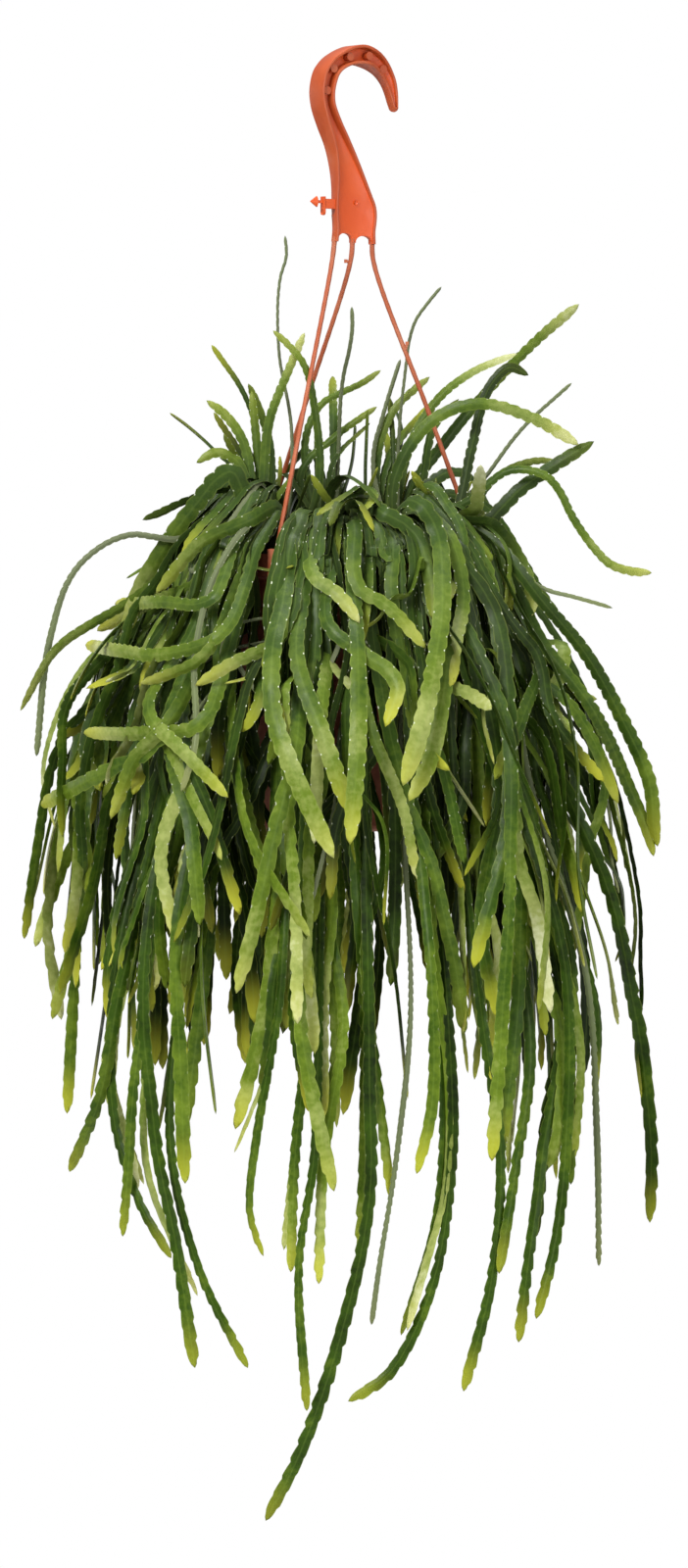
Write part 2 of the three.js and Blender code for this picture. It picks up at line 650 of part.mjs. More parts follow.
// The feet of a clump's stems: inside its crown, side by side in the order in which
// the stems fan out, each aimed at the first place that its stem passes
function rootStems(stems, clump) {
  const centre = clumpCentre(clump).setZ(CROWN_Z);
  for (const stem of stems) {
    const aim = stem.points[0].clone().sub(centre).normalize();
    const aside = draw() * FOOT_SPREAD;
    const turn = draw() * 2 * Math.PI;
    const foot = centre.clone().addScaledVector(aim, FOOT_REACH);
    foot.x += aside * Math.cos(turn);
    foot.y += aside * Math.sin(turn);
    stem.points.unshift(foot);
  }
}

// Moves a stem's places clear of what is round it
function clearStem(stem) {
  let over = false;
  stem.places = stem.places.map((place, i) => {
    over = over || radiusOf(place) > RIM_RADIUS - 6;
    const half = halfWidthAt(i / stem.steps, stem.width);
    return i < 2 ? place : keepClear(place, stem.clump, half, over);
  });
}

// The direction along a stem at each place, its side and its upper or outer face
function frameStem(stem) {
  const { places, steps } = stem;
  stem.tangents = places.map((place, i) => {
    const before = places[Math.max(0, i - 1)];
    return places[Math.min(steps, i + 1)].clone().sub(before).normalize();
  });
  const outward = radians(clumpAngle(stem.clump));
  let side = new THREE.Vector3(-Math.sin(outward), Math.cos(outward), 0);
  stem.sides = stem.tangents.map((tangent) => {
    side = side.clone().addScaledVector(tangent, -side.dot(tangent)).normalize();
    return side;
  });
  stem.faces = stem.sides.map((one, i) => one.clone().cross(stem.tangents[i]));
}

// Lays two stems of a clump over each other where they would run through each other
function layPair(a, b) {
  const close = [];
  let order = 0;
  for (let i = 2; i <= a.steps; i += 1) {
    for (let j = 2; j <= b.steps; j += 1) {
      const gap = b.places[j].clone().sub(a.places[i]);
      const reach = 0.95 * (halfWidthAt(i / a.steps, a.width) + halfWidthAt(j / b.steps, b.width)) + 1;
      if (gap.lengthSq() < reach * reach + LAYER * LAYER) {
        const sense = a.faces[i].dot(b.faces[j]) < 0 ? -1 : 1;
        const face = a.faces[i].clone().addScaledVector(b.faces[j], sense).normalize();
        const rise = gap.dot(face);
        order += rise;
        close.push([i, j, face, rise]);
      }
    }
  }
  const sense = order < 0 ? -1 : 1;
  for (const [i, j, face, rise] of close) {
    const lack = LAYER - sense * rise;
    if (lack > 0) {
      a.moves[i].addScaledVector(face, -sense * lack * 0.3);
      b.moves[j].addScaledVector(face, sense * lack * 0.3);
    }
  }
}

// Lets the stems of a clump settle beside and over each other
function layStems(stems) {
  for (let round = 0; round < LAY_ROUNDS; round += 1) {
    for (const stem of stems) {
      frameStem(stem);
      stem.moves = stem.places.map(() => new THREE.Vector3());
    }
    stems.forEach((a, n) => stems.slice(n + 1).forEach((b) => layPair(a, b)));
    for (const stem of stems) {
      const moved = stem.places.map((place, i) => place.clone().add(stem.moves[i].clampLength(0, SHIFT_CAP)));
      stem.places = moved.map((place, i) => {
        if (i < 2 || i === stem.steps) {
          return place;
        }
        return place.clone().lerp(moved[i - 1].clone().lerp(moved[i + 1], 0.5), 0.25);
      });
      clearStem(stem);
    }
  }
  stems.forEach(frameStem);
}

// How far a stem is rolled about itself, so that one seen from the front shows its face
function rollOf(stem) {
  const roll = radians(stem.roll);
  if (!stem.shown) {
    return roll;
  }
  const middle = Math.round(stem.steps * 0.7);
  const wanted = stem.tangents[middle].clone().cross(new THREE.Vector3(0, 1, 0)).normalize();
  return roll + Math.atan2(wanted.dot(stem.faces[middle]), wanted.dot(stem.sides[middle]));
}

// A stem's solid: a three-cornered section, flat with a ridge, carried along the stem.
// Its two margins swell and draw in by turns, as the toothed margins of the plant do.
function stemSolid(stem) {
  const rings = stem.steps / 2;
  const roll = rollOf(stem);
  const stick = new THREE.CylinderGeometry(1, 1, rings, 3, rings);
  const corners = stick.attributes.position;
  const cornerAcross = Math.sin(radians(120));
  for (let n = 0; n < corners.count; n += 1) {
    const ring = Math.round(corners.getY(n) + rings / 2);
    const i = ring * 2;
    const across = corners.getX(n) / cornerAcross;
    const ridge = corners.getZ(n);
    const tooth = ring % 2 === 0 ? TOOTH_DEPTH : -TOOTH_DEPTH;
    const half = halfWidthAt(ring / rings, stem.width);
    const side = stem.sides[i].clone().multiplyScalar(Math.cos(roll))
      .addScaledVector(stem.faces[i], Math.sin(roll));
    const lift = side.clone().cross(stem.tangents[i]);
    const rise = ridge > 0.5 ? RIDGE_HEIGHT * ridge : EDGE_DROP * 2 * ridge;
    const place = stem.places[i].clone()
      .addScaledVector(side, across * half * (1 + tooth * Math.sign(across)))
      .addScaledVector(lift, rise);
    corners.setXYZ(n, place.x, place.y, place.z);
  }
  return solidOf(stick);
}

// How many stems each clump grows by rule: hanging, standing
const RULED = [[10, 1], [10, 1], [10, 1], [2, 0], [2, 0], [3, 0]];

function allStems() {
  const stems = [...RISING.map(risingStem), ...HANGING.map(hangingStem)];
  RULED.forEach(([hanging, standing], clump) => {
    for (let i = 0; i < hanging; i += 1) {
      stems.push(ruledStem(clump));
    }
    for (let i = 0; i < standing; i += 1) {
      stems.push(ruledShoot(clump));
    }
  });
  return stems;
}

const CLUMP_NAMES = [
  "stems_back_right", "stems_back", "stems_back_left",
  "stems_front_left", "stems_front", "stems_front_right",
];

// The crown of a clump: the crowded bases of its stems, grown together
function crownSolid(k) {
  const crown = new THREE.SphereGeometry(1, 10, 8);
  crown.rotateX(Math.PI / 2);
  crown.scale(...CROWN_SIZE);
  const places = crown.attributes.position;
  for (let i = 0; i < places.count; i += 1) {
    places.setZ(i, Math.max(places.getZ(i), CLUMP_TOP_Z - CROWN_Z));
  }
  crown.rotateZ(radians(clumpAngle(k)));
  const centre = clumpCentre(k);
  crown.translate(centre.x, centre.y, CROWN_Z);
  return solidOf(crown);
}

function makeClumps() {
  const stems = allStems();
  return CLUMP_NAMES.map((name, k) => {
    const centre = clumpCentre(k);
    const bottom = CLUMP_TOP_Z - CLUMP_DEPTH;
    let clump = post(centre.x, centre.y, bottom, CLUMP_TOP_Z + 2, CLUMP_RADIUS, CLUMP_SIDES);
    clump = clump.add(crownSolid(k));
    const grown = stems.filter((one) => one.clump === k);
    rootStems(grown, k);
    for (const stem of grown) {
      const curve = new THREE.CatmullRomCurve3(stem.points, false, "centripetal");
      stem.steps = 2 * Math.max(3, Math.round(curve.getLength() / STEM_STEP));
      stem.places = curve.getSpacedPoints(stem.steps);
      clearStem(stem);
    }
    layStems(grown);
    for (const stem of grown) {
      clump = clump.add(stemSolid(stem));
    }
    return meshOf(name, clump, GREEN);
  });
}

const plant = new THREE.Group();
plant.add(makeHanger(), makePot(), makeSoil(), ...makeClumps());

export default plant;
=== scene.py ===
import math

import bmesh
import bpy
import numpy as np
from mathutils import Matrix, Vector, kdtree, noise


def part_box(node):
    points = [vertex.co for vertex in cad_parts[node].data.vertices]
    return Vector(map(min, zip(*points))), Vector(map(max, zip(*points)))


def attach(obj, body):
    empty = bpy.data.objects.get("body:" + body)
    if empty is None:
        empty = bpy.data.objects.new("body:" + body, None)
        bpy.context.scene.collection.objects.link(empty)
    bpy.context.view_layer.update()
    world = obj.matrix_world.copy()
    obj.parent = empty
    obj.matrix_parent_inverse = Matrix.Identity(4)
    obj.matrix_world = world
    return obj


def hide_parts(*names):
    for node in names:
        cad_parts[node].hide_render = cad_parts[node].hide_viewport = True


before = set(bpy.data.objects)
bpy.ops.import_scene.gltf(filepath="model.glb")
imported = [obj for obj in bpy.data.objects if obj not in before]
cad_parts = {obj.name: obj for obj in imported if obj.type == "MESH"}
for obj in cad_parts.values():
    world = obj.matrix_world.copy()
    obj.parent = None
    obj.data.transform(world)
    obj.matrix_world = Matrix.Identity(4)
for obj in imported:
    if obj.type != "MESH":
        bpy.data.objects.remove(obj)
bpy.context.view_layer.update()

# A lepismium bolivianum in a hanging pot. Places are in millimetres, in the frame of
# the CAD model, and become metres where a mesh is made. The front of the plant faces -Y.
MM = 0.001

# Pot, from its node
pot_low, pot_high = (np.array(corner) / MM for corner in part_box("pot"))
POT_AXIS = (pot_low + pot_high)[:2] / 2
RIM_RADIUS = (pot_high - pot_low)[0] / 2
RIM_TOP = pot_high[2]
POT_BOTTOM = pot_low[2]
POT_BASE_RADIUS = 54
POT_WALL = 1.5
POT_FLOOR = 2.5
LIP_HEIGHT = 12
LIP_OVERHANG = 3.8
LIP_BOTTOM = RIM_TOP - LIP_HEIGHT
WALL_TOP_RADIUS = RIM_RADIUS - LIP_OVERHANG - POT_WALL
POT_SIDES = 96
DRAIN_RADIUS = 4
DRAIN_CIRCLE = 30

# The photograph's frame
PHOTO_WIDTH = 702
PHOTO_HEIGHT = 1600
MM_PER_PIXEL = 0.5
HANG_POINT_PIXEL = (365, 68)
VIEW_DISTANCE = 5000
SENSOR = 36.0

view_centre = (
    (PHOTO_WIDTH / 2 - HANG_POINT_PIXEL[0]) * MM_PER_PIXEL,
    (HANG_POINT_PIXEL[1] - PHOTO_HEIGHT / 2) * MM_PER_PIXEL,
)


def add_object(name, data):
    made = bpy.data.objects.new(name, data)
    bpy.context.collection.objects.link(made)
    return made


def mesh_from(name, bm):
    """A mesh made of a bmesh, which is freed."""
    mesh = bpy.data.meshes.new(name)
    bm.to_mesh(mesh)
    bm.free()
    return mesh


def make_camera():
    """A long lens, level with the middle of the frame."""
    data = bpy.data.cameras.new("camera")
    camera = add_object("camera", data)
    camera.location = (view_centre[0] * MM, -VIEW_DISTANCE * MM, view_centre[1] * MM)
    camera.rotation_euler = (math.radians(90), 0, 0)
    data.sensor_width = SENSOR
    data.lens = SENSOR * VIEW_DISTANCE / (PHOTO_HEIGHT * MM_PER_PIXEL)
    data.clip_end = 100
    bpy.context.scene.camera = camera


make_camera()


# Materials

def colour(hex_text):
    """An sRGB hex colour as linear red, green, blue and alpha."""
    channels = [int(hex_text[i:i + 2], 16) / 255 for i in (1, 3, 5)]
    linear = [c / 12.92 if c <= 0.04045 else ((c + 0.055) / 1.055) ** 2.4 for c in channels]
    return (*linear, 1.0)


def add_node(tree, kind, inputs=(), stops=(), **settings):
    """Adds a node with its settings and its inputs, by name or in order. An input is a
    value, or a socket or a node's first output to link. Stops are a colour ramp's."""
    made = tree.nodes.new("ShaderNode" + kind)
    for name, value in settings.items():
        setattr(made, name, value)
    for socket, value in inputs.items() if isinstance(inputs, dict) else enumerate(inputs):
        if isinstance(value, bpy.types.Node):
            value = value.outputs[0]
        if isinstance(value, bpy.types.NodeSocket):
            tree.links.new(value, made.inputs[socket])
        else:
            made.inputs[socket].default_value = value
    if stops:
        elements = made.color_ramp.elements
        while len(elements) < len(stops):
            elements.new(0.5)
        for element, (place, hex_text) in zip(elements, stops):
            element.position = place
            element.color = colour(hex_text)
    return made


def new_material(name):
    """A material with an empty node tree."""
    material = bpy.data.materials.new(name)
    material.use_nodes = True
    material.node_tree.nodes.clear()
    return material, material.node_tree


# The range that most of a noise lies in
NOISE_MIDDLE = (0.3, 0.7)


def stem_skin():
    """Waxy cactus skin: dark green on old stems, paler on young ones and toward every
    tip, with a light midrib, woolly specks in the margins' notches and a corky foot. It is
    darker and greyer toward the foot, partly as painted shade in the crown, and its palest,
    greyest tones are partly a painted highlight for the wax's sheen.
    Its pores are too fine to show, so the bump is drawn at 1.6 mm."""
    material, tree = new_material("waxy_stem_skin")
    from_tip, from_foot, tone, ripe, woody, side, teeth = (
        add_node(tree, "Attribute", attribute_name=name).outputs["Fac"]
        for name in ("from_tip", "from_foot", "tone", "ripe", "woody", "across", "teeth"))
    across = add_node(tree, "Math", [side], operation="ABSOLUTE")
    phase = add_node(tree, "Math", [teeth], operation="FRACT")
    from_middle = add_node(tree, "Math", [phase, 0.5], operation="SUBTRACT")
    notch = add_node(tree, "Math", [from_middle], operation="ABSOLUTE")
    place = add_node(tree, "TexCoord").outputs["Object"]
    noise_26, noise_9, noise_3, pores = (
        add_node(tree, "TexNoise", {"Vector": place, "Scale": 1 / (size * MM), "Detail": detail})
        for size, detail in ((26, 3), (9, 3), (3, 3), (1.6, 4)))

    # Each carries a value from one range smoothly to another
    spans = {
        "blotch": (noise_26, *NOISE_MIDDLE, -0.16, 0.06), "fine": (noise_3, *NOISE_MIDDLE, -0.05, 0.05),
        "gloss": (noise_9, *NOISE_MIDDLE, 0.3, 0.5), "near_tip": (from_tip, 2, 30, 0.85, 0),
        "dull_shaded_foot": (from_foot, 60, 300, 0.32, 0), "corky_foot": (from_foot, 10, 60, 0.45, 0),
        "midrib": (across, 0.03, 0.2, 0.08, 0), "margin": (across, 0.8, 1, 0, 0.2),
        "at_notch": (notch, 0.42, 0.47, 0, 1), "at_edge": (across, 0.8, 0.93, 0, 1),
        "patchy": (noise_9, 0.46, 0.6, 0, 1), "high_up": (from_foot, 120, 360, 1, 0.1),
    }
    for title, span in spans.items():
        spans[title] = add_node(tree, "MapRange", span, interpolation_type="SMOOTHSTEP")

    # Darker toward the foot: young growth is paler, and the dark foot is partly painted shade in the
    # crown
    length = add_node(tree, "Math", [from_foot, from_tip], operation="ADD")
    along = add_node(tree, "Math", [from_foot, length], operation="DIVIDE")
    curved = add_node(tree, "Math", [along, 1.7], operation="POWER")
    growth_and_crown_shade = add_node(tree, "Math", [curved, 0.86, 0.27], operation="MULTIPLY_ADD")
    shade = add_node(tree, "Math", [tone, growth_and_crown_shade, spans["blotch"]], operation="MULTIPLY_ADD")
    shade = add_node(tree, "Math", [shade, spans["fine"]], operation="ADD")
    # The ramp's upper stops are paler and greyer than the skin's own green: partly a painted highlight
    # for the wax's sheen
    skin = add_node(tree, "ValToRGB", [shade], [
        (0.0, "#132103"), (0.28, "#304909"), (0.52, "#5E731D"), (0.78, "#9BA45C"), (1.0, "#D4D6AC")])
    yellow_tip = add_node(tree, "Math", [spans["near_tip"], ripe], operation="MULTIPLY")
    wool = spans["at_notch"]
    for title in ("at_edge", "patchy", "high_up"):
        wool = add_node(tree, "Math", [wool, spans[title]], operation="MULTIPLY")
    # The dull foot's grey green is partly painted shade in the crown
    for cover, hex_text in (
        (yellow_tip, "#B3B334"), (spans["dull_shaded_foot"], "#43532F"), (spans["corky_foot"], "#4E5238"),
        (woody, "#6E7458"), (spans["midrib"], "#8DA64E"), (spans["margin"], "#96A34A"),
        (wool, "#D6DCC2"),
    ):
        mixed = {0: cover, 6: skin, 7: colour(hex_text)}
        skin = add_node(tree, "Mix", mixed, data_type="RGBA").outputs[2]
    bump = add_node(tree, "Bump", {"Height": pores, "Distance": 0.25 * MM, "Strength": 0.5})
    shader = add_node(tree, "BsdfPrincipled", {
        "Base Color": skin, "Roughness": spans["gloss"], "Normal": bump,
        "IOR": 1.45, "Specular IOR Level": 0.13})
    add_node(tree, "OutputMaterial", [shader])
    return material


def mottled(name, grain, stops, bump, depth_mm, strength, middle=NOISE_MIDDLE, gloss=None, **values):
    """A material coloured by noise, with a bump of finer noise. Grain is the first noise's
    size, detail and roughness, and bump the second one's. Gloss is the size of a third
    noise and the roughness that it runs between."""
    material, tree = new_material(name)
    place = add_node(tree, "TexCoord").outputs["Object"]
    colouring, height = (
        add_node(tree, "TexNoise", {
            "Vector": place, "Scale": 1 / (size * MM), "Detail": detail, "Roughness": roughness})
        for size, detail, roughness in (grain, bump))
    if gloss:
        size, *ends = gloss
        shining = add_node(tree, "TexNoise", {"Vector": place, "Scale": 1 / (size * MM), "Detail": 3})
        values["Roughness"] = add_node(
            tree, "MapRange", [shining, *NOISE_MIDDLE, *ends], interpolation_type="SMOOTHSTEP")
    factor = add_node(tree, "MapRange", [colouring, *middle, 0, 1], interpolation_type="SMOOTHSTEP")
    tone = add_node(tree, "ValToRGB", [factor], stops)
    relief = add_node(tree, "Bump", {"Height": height, "Distance": depth_mm * MM, "Strength": strength})
    shader = add_node(tree, "BsdfPrincipled", {"Base Color": tone, "Normal": relief, **values})
    add_node(tree, "OutputMaterial", [shader])
    return material


def hanger_plastic(name, fresh, plain, worn):
    """Injection-moulded polypropylene in terracotta orange: an even satin skin with
    slightly paler, worn places. Its grain is too fine to show, so it is drawn at 0.9 mm."""
    return mottled(name, (30, 3, 0.5), [(0.0, fresh), (0.6, plain), (1.0, worn)], (0.9, 1, 0.5), 0.03,
                   0.3, middle=(0.35, 0.75), gloss=(6, 0.36, 0.5), IOR=1.49)


def pot_plastic():
    """Thermoformed recycled polypropylene: brown terracotta, with fine mottling, dust
    and a matte grain, which is drawn at 1.2 mm to show."""
    # These browns are darker than the plastic's own: painted shade under the stems
    browns = [(0.0, "#73381F"), (0.55, "#844229"), (1.0, "#935236")]
    return mottled("thermoformed_polypropylene_brown", (8, 5, 0.5), browns, (1.2, 3, 0.5), 0.12, 0.5,
                   Roughness=0.58, IOR=1.49)


def soil_materials():
    """Moist, near black peat, reddish brown chips of bark and chalk white perlite."""
    return [
        mottled("moist_peat", (2.2, 6, 0.7), [(0.0, "#1C130C"), (0.5, "#382618"), (1.0, "#5A412C")],
                (1.5, 6, 0.7), 1.2, 1, Roughness=0.95),
        mottled("composted_bark", (1.5, 4, 0.5), [(0.0, "#2C1B10"), (0.5, "#5B3A22"), (1.0, "#80583A")],
                (0.8, 4, 0.5), 0.4, 1, Roughness=0.85),
        mottled("expanded_perlite", (0.9, 3, 0.5), [(0.0, "#B9B4A6"), (1.0, "#E6E3DA")],
                (0.6, 3, 0.5), 0.3, 1, Roughness=0.9),
    ]


# Meshes

def to_metres(bm):
    bmesh.ops.scale(bm, vec=(MM, MM, MM), verts=bm.verts)


def finish_piece(name, bm, materials, nodes):
    """Makes an object of a bmesh in millimetres, on the one body, in the CAD frame."""
    to_metres(bm)
    mesh = mesh_from(name, bm)
    mesh.polygons.foreach_set("use_smooth", [True] * len(mesh.polygons))
    for material in materials:
        mesh.materials.append(material)
    piece = add_object(name, mesh)
    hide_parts(*nodes)
    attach(piece, "root")
    return piece


def add_round(bm, sides, low, high, depth, place):
    """The corners of a capped cylinder or cone, put in its place by a matrix."""
    return bmesh.ops.create_cone(
        bm, cap_ends=True, segments=sides, radius1=low, radius2=high, depth=depth, matrix=place)["verts"]


def add_box(bm, size, place):
    """A box, put in its place by a matrix."""
    bmesh.ops.create_cube(bm, size=1, matrix=place @ Matrix.Diagonal((*size, 1)))


def around_pot(radius, angle_deg, z):
    """A place round the pot's axis."""
    angle = math.radians(angle_deg)
    return np.array([
        POT_AXIS[0] + radius * math.cos(angle), POT_AXIS[1] + radius * math.sin(angle), z])


def radius_of(place):
    return math.hypot(place[0] - POT_AXIS[0], place[1] - POT_AXIS[1])


def angle_of(place):
    return math.degrees(math.atan2(place[1] - POT_AXIS[1], place[0] - POT_AXIS[0]))


def cut_away(piece, tool):
    """Cuts a bmesh in millimetres out of a piece."""
    to_metres(tool)
    cutter = add_object("tool", mesh_from("tool", tool))
    cut = piece.modifiers.new("cut", "BOOLEAN")
    cut.object = cutter
    cut.operation = "DIFFERENCE"
    cut.solver = "EXACT"
    shaped = piece.evaluated_get(bpy.context.evaluated_depsgraph_get())
    result = bpy.data.meshes.new_from_object(shaped)
    piece.modifiers.clear()
    piece.data = result
    bpy.data.objects.remove(cutter)


def turned(bm, profile, sides):
    """A closed profile of [radius, z] points spun about the pot's axis."""
    corners = [bm.verts.new((POT_AXIS[0] + r, POT_AXIS[1], z)) for r, z in profile]
    edges = [bm.edges.new(pair) for pair in zip(corners, corners[1:])]
    bmesh.ops.spin(
        bm, geom=corners + edges, cent=(*POT_AXIS, 0), axis=(0, 0, 1),
        angle=2 * math.pi, steps=sides, use_merge=True, use_duplicate=False)
    bmesh.ops.remove_doubles(bm, verts=bm.verts, dist=0.005)
    bmesh.ops.recalc_face_normals(bm, faces=bm.faces)


# Pot and soil

def make_pot():
    bm = bmesh.new()
    turned(bm, [
        (0, POT_BOTTOM), (POT_BASE_RADIUS - 6, POT_BOTTOM), (POT_BASE_RADIUS - 3, POT_BOTTOM),
        (POT_BASE_RADIUS - 1, POT_BOTTOM + 0.8), (POT_BASE_RADIUS, POT_BOTTOM + 3),
        (POT_BASE_RADIUS + 4.2, POT_BOTTOM + 36), (POT_BASE_RADIUS + 5.1, POT_BOTTOM + 38),
        (WALL_TOP_RADIUS - 0.4, LIP_BOTTOM - 1.2), (WALL_TOP_RADIUS, LIP_BOTTOM),
        (RIM_RADIUS - 2.2, LIP_BOTTOM), (RIM_RADIUS - 1.7, LIP_BOTTOM + 0.5),
        (RIM_RADIUS - 0.2, RIM_TOP - 1.8), (RIM_RADIUS - 0.3, RIM_TOP - 0.7),
        (RIM_RADIUS - 1, RIM_TOP), (RIM_RADIUS - LIP_OVERHANG, RIM_TOP),
        (RIM_RADIUS - LIP_OVERHANG - 0.5, RIM_TOP - 0.6),
        (WALL_TOP_RADIUS - POT_WALL, LIP_BOTTOM - 2),
        (POT_BASE_RADIUS - POT_WALL, POT_BOTTOM + POT_FLOOR), (0, POT_BOTTOM + POT_FLOOR),
    ], POT_SIDES)
    pot = finish_piece("hanging_pot", bm, [pot_plastic()], ["pot"])
    drill = bmesh.new()
    for angle in (45, 135, 225, 315):
        place = Matrix.Translation(around_pot(DRAIN_CIRCLE, angle, POT_BOTTOM))
        add_round(drill, 20, DRAIN_RADIUS, DRAIN_RADIUS, 10, place)
    cut_away(pot, drill)


SOIL_TOP = RIM_TOP - 8
SOIL_MOUND = 2.5
SOIL_GAP = 0.4
SOIL_SEED = 7
CHIP_COUNT = 260
PERLITE_EVERY = 6


def make_soil():
    """A mound of peat with a rough top, and chips of bark and grains of perlite on it."""
    random = np.random.default_rng(SOIL_SEED)
    inner = WALL_TOP_RADIUS - POT_WALL - 0.5
    bottom = POT_BOTTOM + POT_FLOOR + SOIL_GAP
    top = [(r, SOIL_TOP) for r in np.linspace(inner, 0, 26)]
    bm = bmesh.new()
    turned(bm, [
        (0, bottom), (POT_BASE_RADIUS - POT_WALL - 0.6, bottom), (inner, LIP_BOTTOM - 2), *top,
    ], 120)
    for vert in bm.verts:
        radius = radius_of(vert.co)
        if vert.co.z > SOIL_TOP - 0.1 and radius < inner - 1:
            lift = 2.4 * noise.noise(vert.co * 0.11) + 1.2 * noise.noise(vert.co * 0.5)
            vert.co.z += lift + SOIL_MOUND * (1 - radius / inner)
    for i in range(CHIP_COUNT):
        white = i % PERLITE_EVERY == 0
        angle, radius = random.uniform(0, 360), inner * math.sqrt(random.uniform(0.01, 0.9))
        size = random.uniform(1.0, 1.9) if white else random.uniform(1.4, 3.4)
        shape = (size, size * random.uniform(0.5, 1), size * random.uniform(0.3, 0.6))
        if white:
            shape = (size, size, size * 0.8)
        height = SOIL_TOP + SOIL_MOUND * (1 - radius / inner) + random.uniform(0, 1.5)
        spin = Matrix.Rotation(random.uniform(0, 6.28), 4, "Z")
        lean = Matrix.Rotation(random.uniform(-0.5, 0.5), 4, "X")
        place = Matrix.Translation(around_pot(radius, angle, height)) @ (spin @ lean)
        chip = bmesh.ops.create_icosphere(
            bm, subdivisions=1, radius=1.0, matrix=place @ Matrix.Diagonal((*shape, 1)))
        for vert in chip["verts"]:
            for face in vert.link_faces:
                face.material_index = 2 if white else 1
    finish_piece("soil_bed", bm, soil_materials(), ["soil"])


# Hanger

HOOK_TURN = math.radians(35)
HOOK_DEPTH = 12.7
TIP_DEPTH = 5.6
PLATE_DEPTH = 5
WEB_DEPTH = 2.6
FLANGE = 1.6
PLATE_BOTTOM = -90
ARM_RADIUS = 1.18
ARM_PLACES = 90
ARM_ANGLES = (245, 125, 5)
ARM_STARTS = (-14.1, -3.2, 9.1)
ARM_NECKS = (-15.8, -4.4, 9.8)
ARM_FLARE = 0.3
ARM_RIPPLE = 0.05

# Where the hook's section thins: across toward its tip, and down toward its plate
THINS_TO_TIP = (4, 21)
THINS_TO_PLATE = (18, 74)

# Middle line of the hook in its own plane, from the tip to the plate: across, up, half width
HOOK_LINE = [
    (22.3, -19.9, 1.3), (21.8, -17.5, 1.9), (20.9, -13.0, 2.6), (19.2, -7.7, 3.3),
    (17.2, -4.2, 3.6), (14.5, -0.8, 3.9), (11.3, 1.9, 4.2), (7.4, 4.1, 4.5),
    (1.5, 5.9, 4.9), (-3.0, 5.8, 4.8), (-6.8, 4.9, 4.5), (-11.3, 3.1, 4.2),
    (-15.7, 0.4, 4.1), (-18.4, -2.4, 4.1), (-20.0, -5.0, 4.2), (-22.0, -13.0, 4.0),
    (-21.4, -20.5, 3.7), (-17.8, -29.5, 4.1), (-13.0, -39.0, 5.0), (-8.8, -49.5, 6.9),
    (-5.6, -60.0, 9.3), (-3.3, -70.0, 11.9), (-2.2, -75.0, 12.7), (-2.4, -84.0, 12.0),
    (-2.6, PLATE_BOTTOM, 12.4),
]


def steps_of(line):
    """The length of each step along a line."""
    return np.linalg.norm(np.diff(line, axis=0), axis=1)


def spline(points, count):
    """Evenly spaced places along a centripetal Catmull-Rom curve, ends included."""
    points = np.asarray(points, float)
    padded = np.vstack([2 * points[0] - points[1], points, 2 * points[-1] - points[-2]])
    shares = np.linspace(0, 1, 13)[:-1]
    dense = []
    for a, b, c, d in zip(padded, padded[1:], padded[2:], padded[3:]):
        gaps = [max(np.linalg.norm(q - p), 1e-6) ** 0.5 for p, q in ((a, b), (b, c), (c, d))]
        out = (b - a) / gaps[0] - (c - a) / (gaps[0] + gaps[1]) + (c - b) / gaps[1]
        into = (c - b) / gaps[1] - (d - b) / (gaps[1] + gaps[2]) + (d - c) / gaps[2]
        out, into = out * gaps[1], into * gaps[1]
        for t in shares:
            dense.append(
                b + out * t + (3 * (c - b) - 2 * out - into) * t * t
                + (2 * (b - c) + out + into) * t * t * t)
    dense = np.array([*dense, points[-1]])
    lengths = np.concatenate([[0], np.cumsum(steps_of(dense))])
    wanted = np.linspace(0, lengths[-1], count)
    return np.stack([np.interp(wanted, lengths, dense[:, i]) for i in range(dense.shape[1])], axis=1)


def smooth_step(value, low, high):
    share = min(max((value - low) / (high - low), 0), 1)
    return share * share * (3 - 2 * share)


def hook_depth(across, up):
    """Depth of the hook's section, which thins toward its tip and toward the plate."""
    toward_tip = smooth_step(across, *THINS_TO_TIP)
    toward_plate = smooth_step(-up, *THINS_TO_PLATE)
    depth = HOOK_DEPTH - (HOOK_DEPTH - TIP_DEPTH) * toward_tip * (1 - toward_plate)
    return depth - (HOOK_DEPTH - PLATE_DEPTH) * toward_plate


hook_to_part = Matrix.Rotation(HOOK_TURN, 4, "Z") @ Matrix.Rotation(math.pi / 2, 4, "X")


def hook_point(across, up):
    return np.array(hook_to_part @ Vector((across, up, 0)))


HOOK_STATIONS = 150
TIP_RINGS = 8
TIP_REACH = 2.5
FILLET = 0.5
FIRST_STUD = 21
STUD_PITCH = 6.0
STUD_COUNT = 10
BOSS_RADIUS = 2.1
BOSS_SINK = 1.3
RIB_WIDTH = 1.1
RIB_SINK = 0.7
RIB_GAP = 0.6
ARCHES = ((-8.7, -85.2, 4.2), (3.0, -86.3, 5.0))
ARCH_HEIGHT = 3.2


def hook_section(half, depth, web):
    """The hook's section: two flanges joined by a web, with rounded corners, as [across,
    forward] points."""
    flange = min(FLANGE, 0.6 * half)
    outer = min(FILLET, flange / 2.2)
    front, floor, inner = depth / 2, web / 2, half - flange
    fillet = min(outer, (front - floor) / 2.2, inner * 0.8)
    left = [
        (-half, front - outer), (-half + 0.3 * outer, front - 0.3 * outer), (-half + outer, front),
        (-inner - fillet, front), (-inner - 0.3 * fillet, front - 0.3 * fillet), (-inner, front - fillet),
        (-inner, floor + fillet), (-inner + 0.3 * fillet, floor + 0.3 * fillet), (-inner + fillet, floor),
    ]
    face = left + [(-a, d) for a, d in reversed(left)]
    return face + [(a, -d) for a, d in reversed(face)]


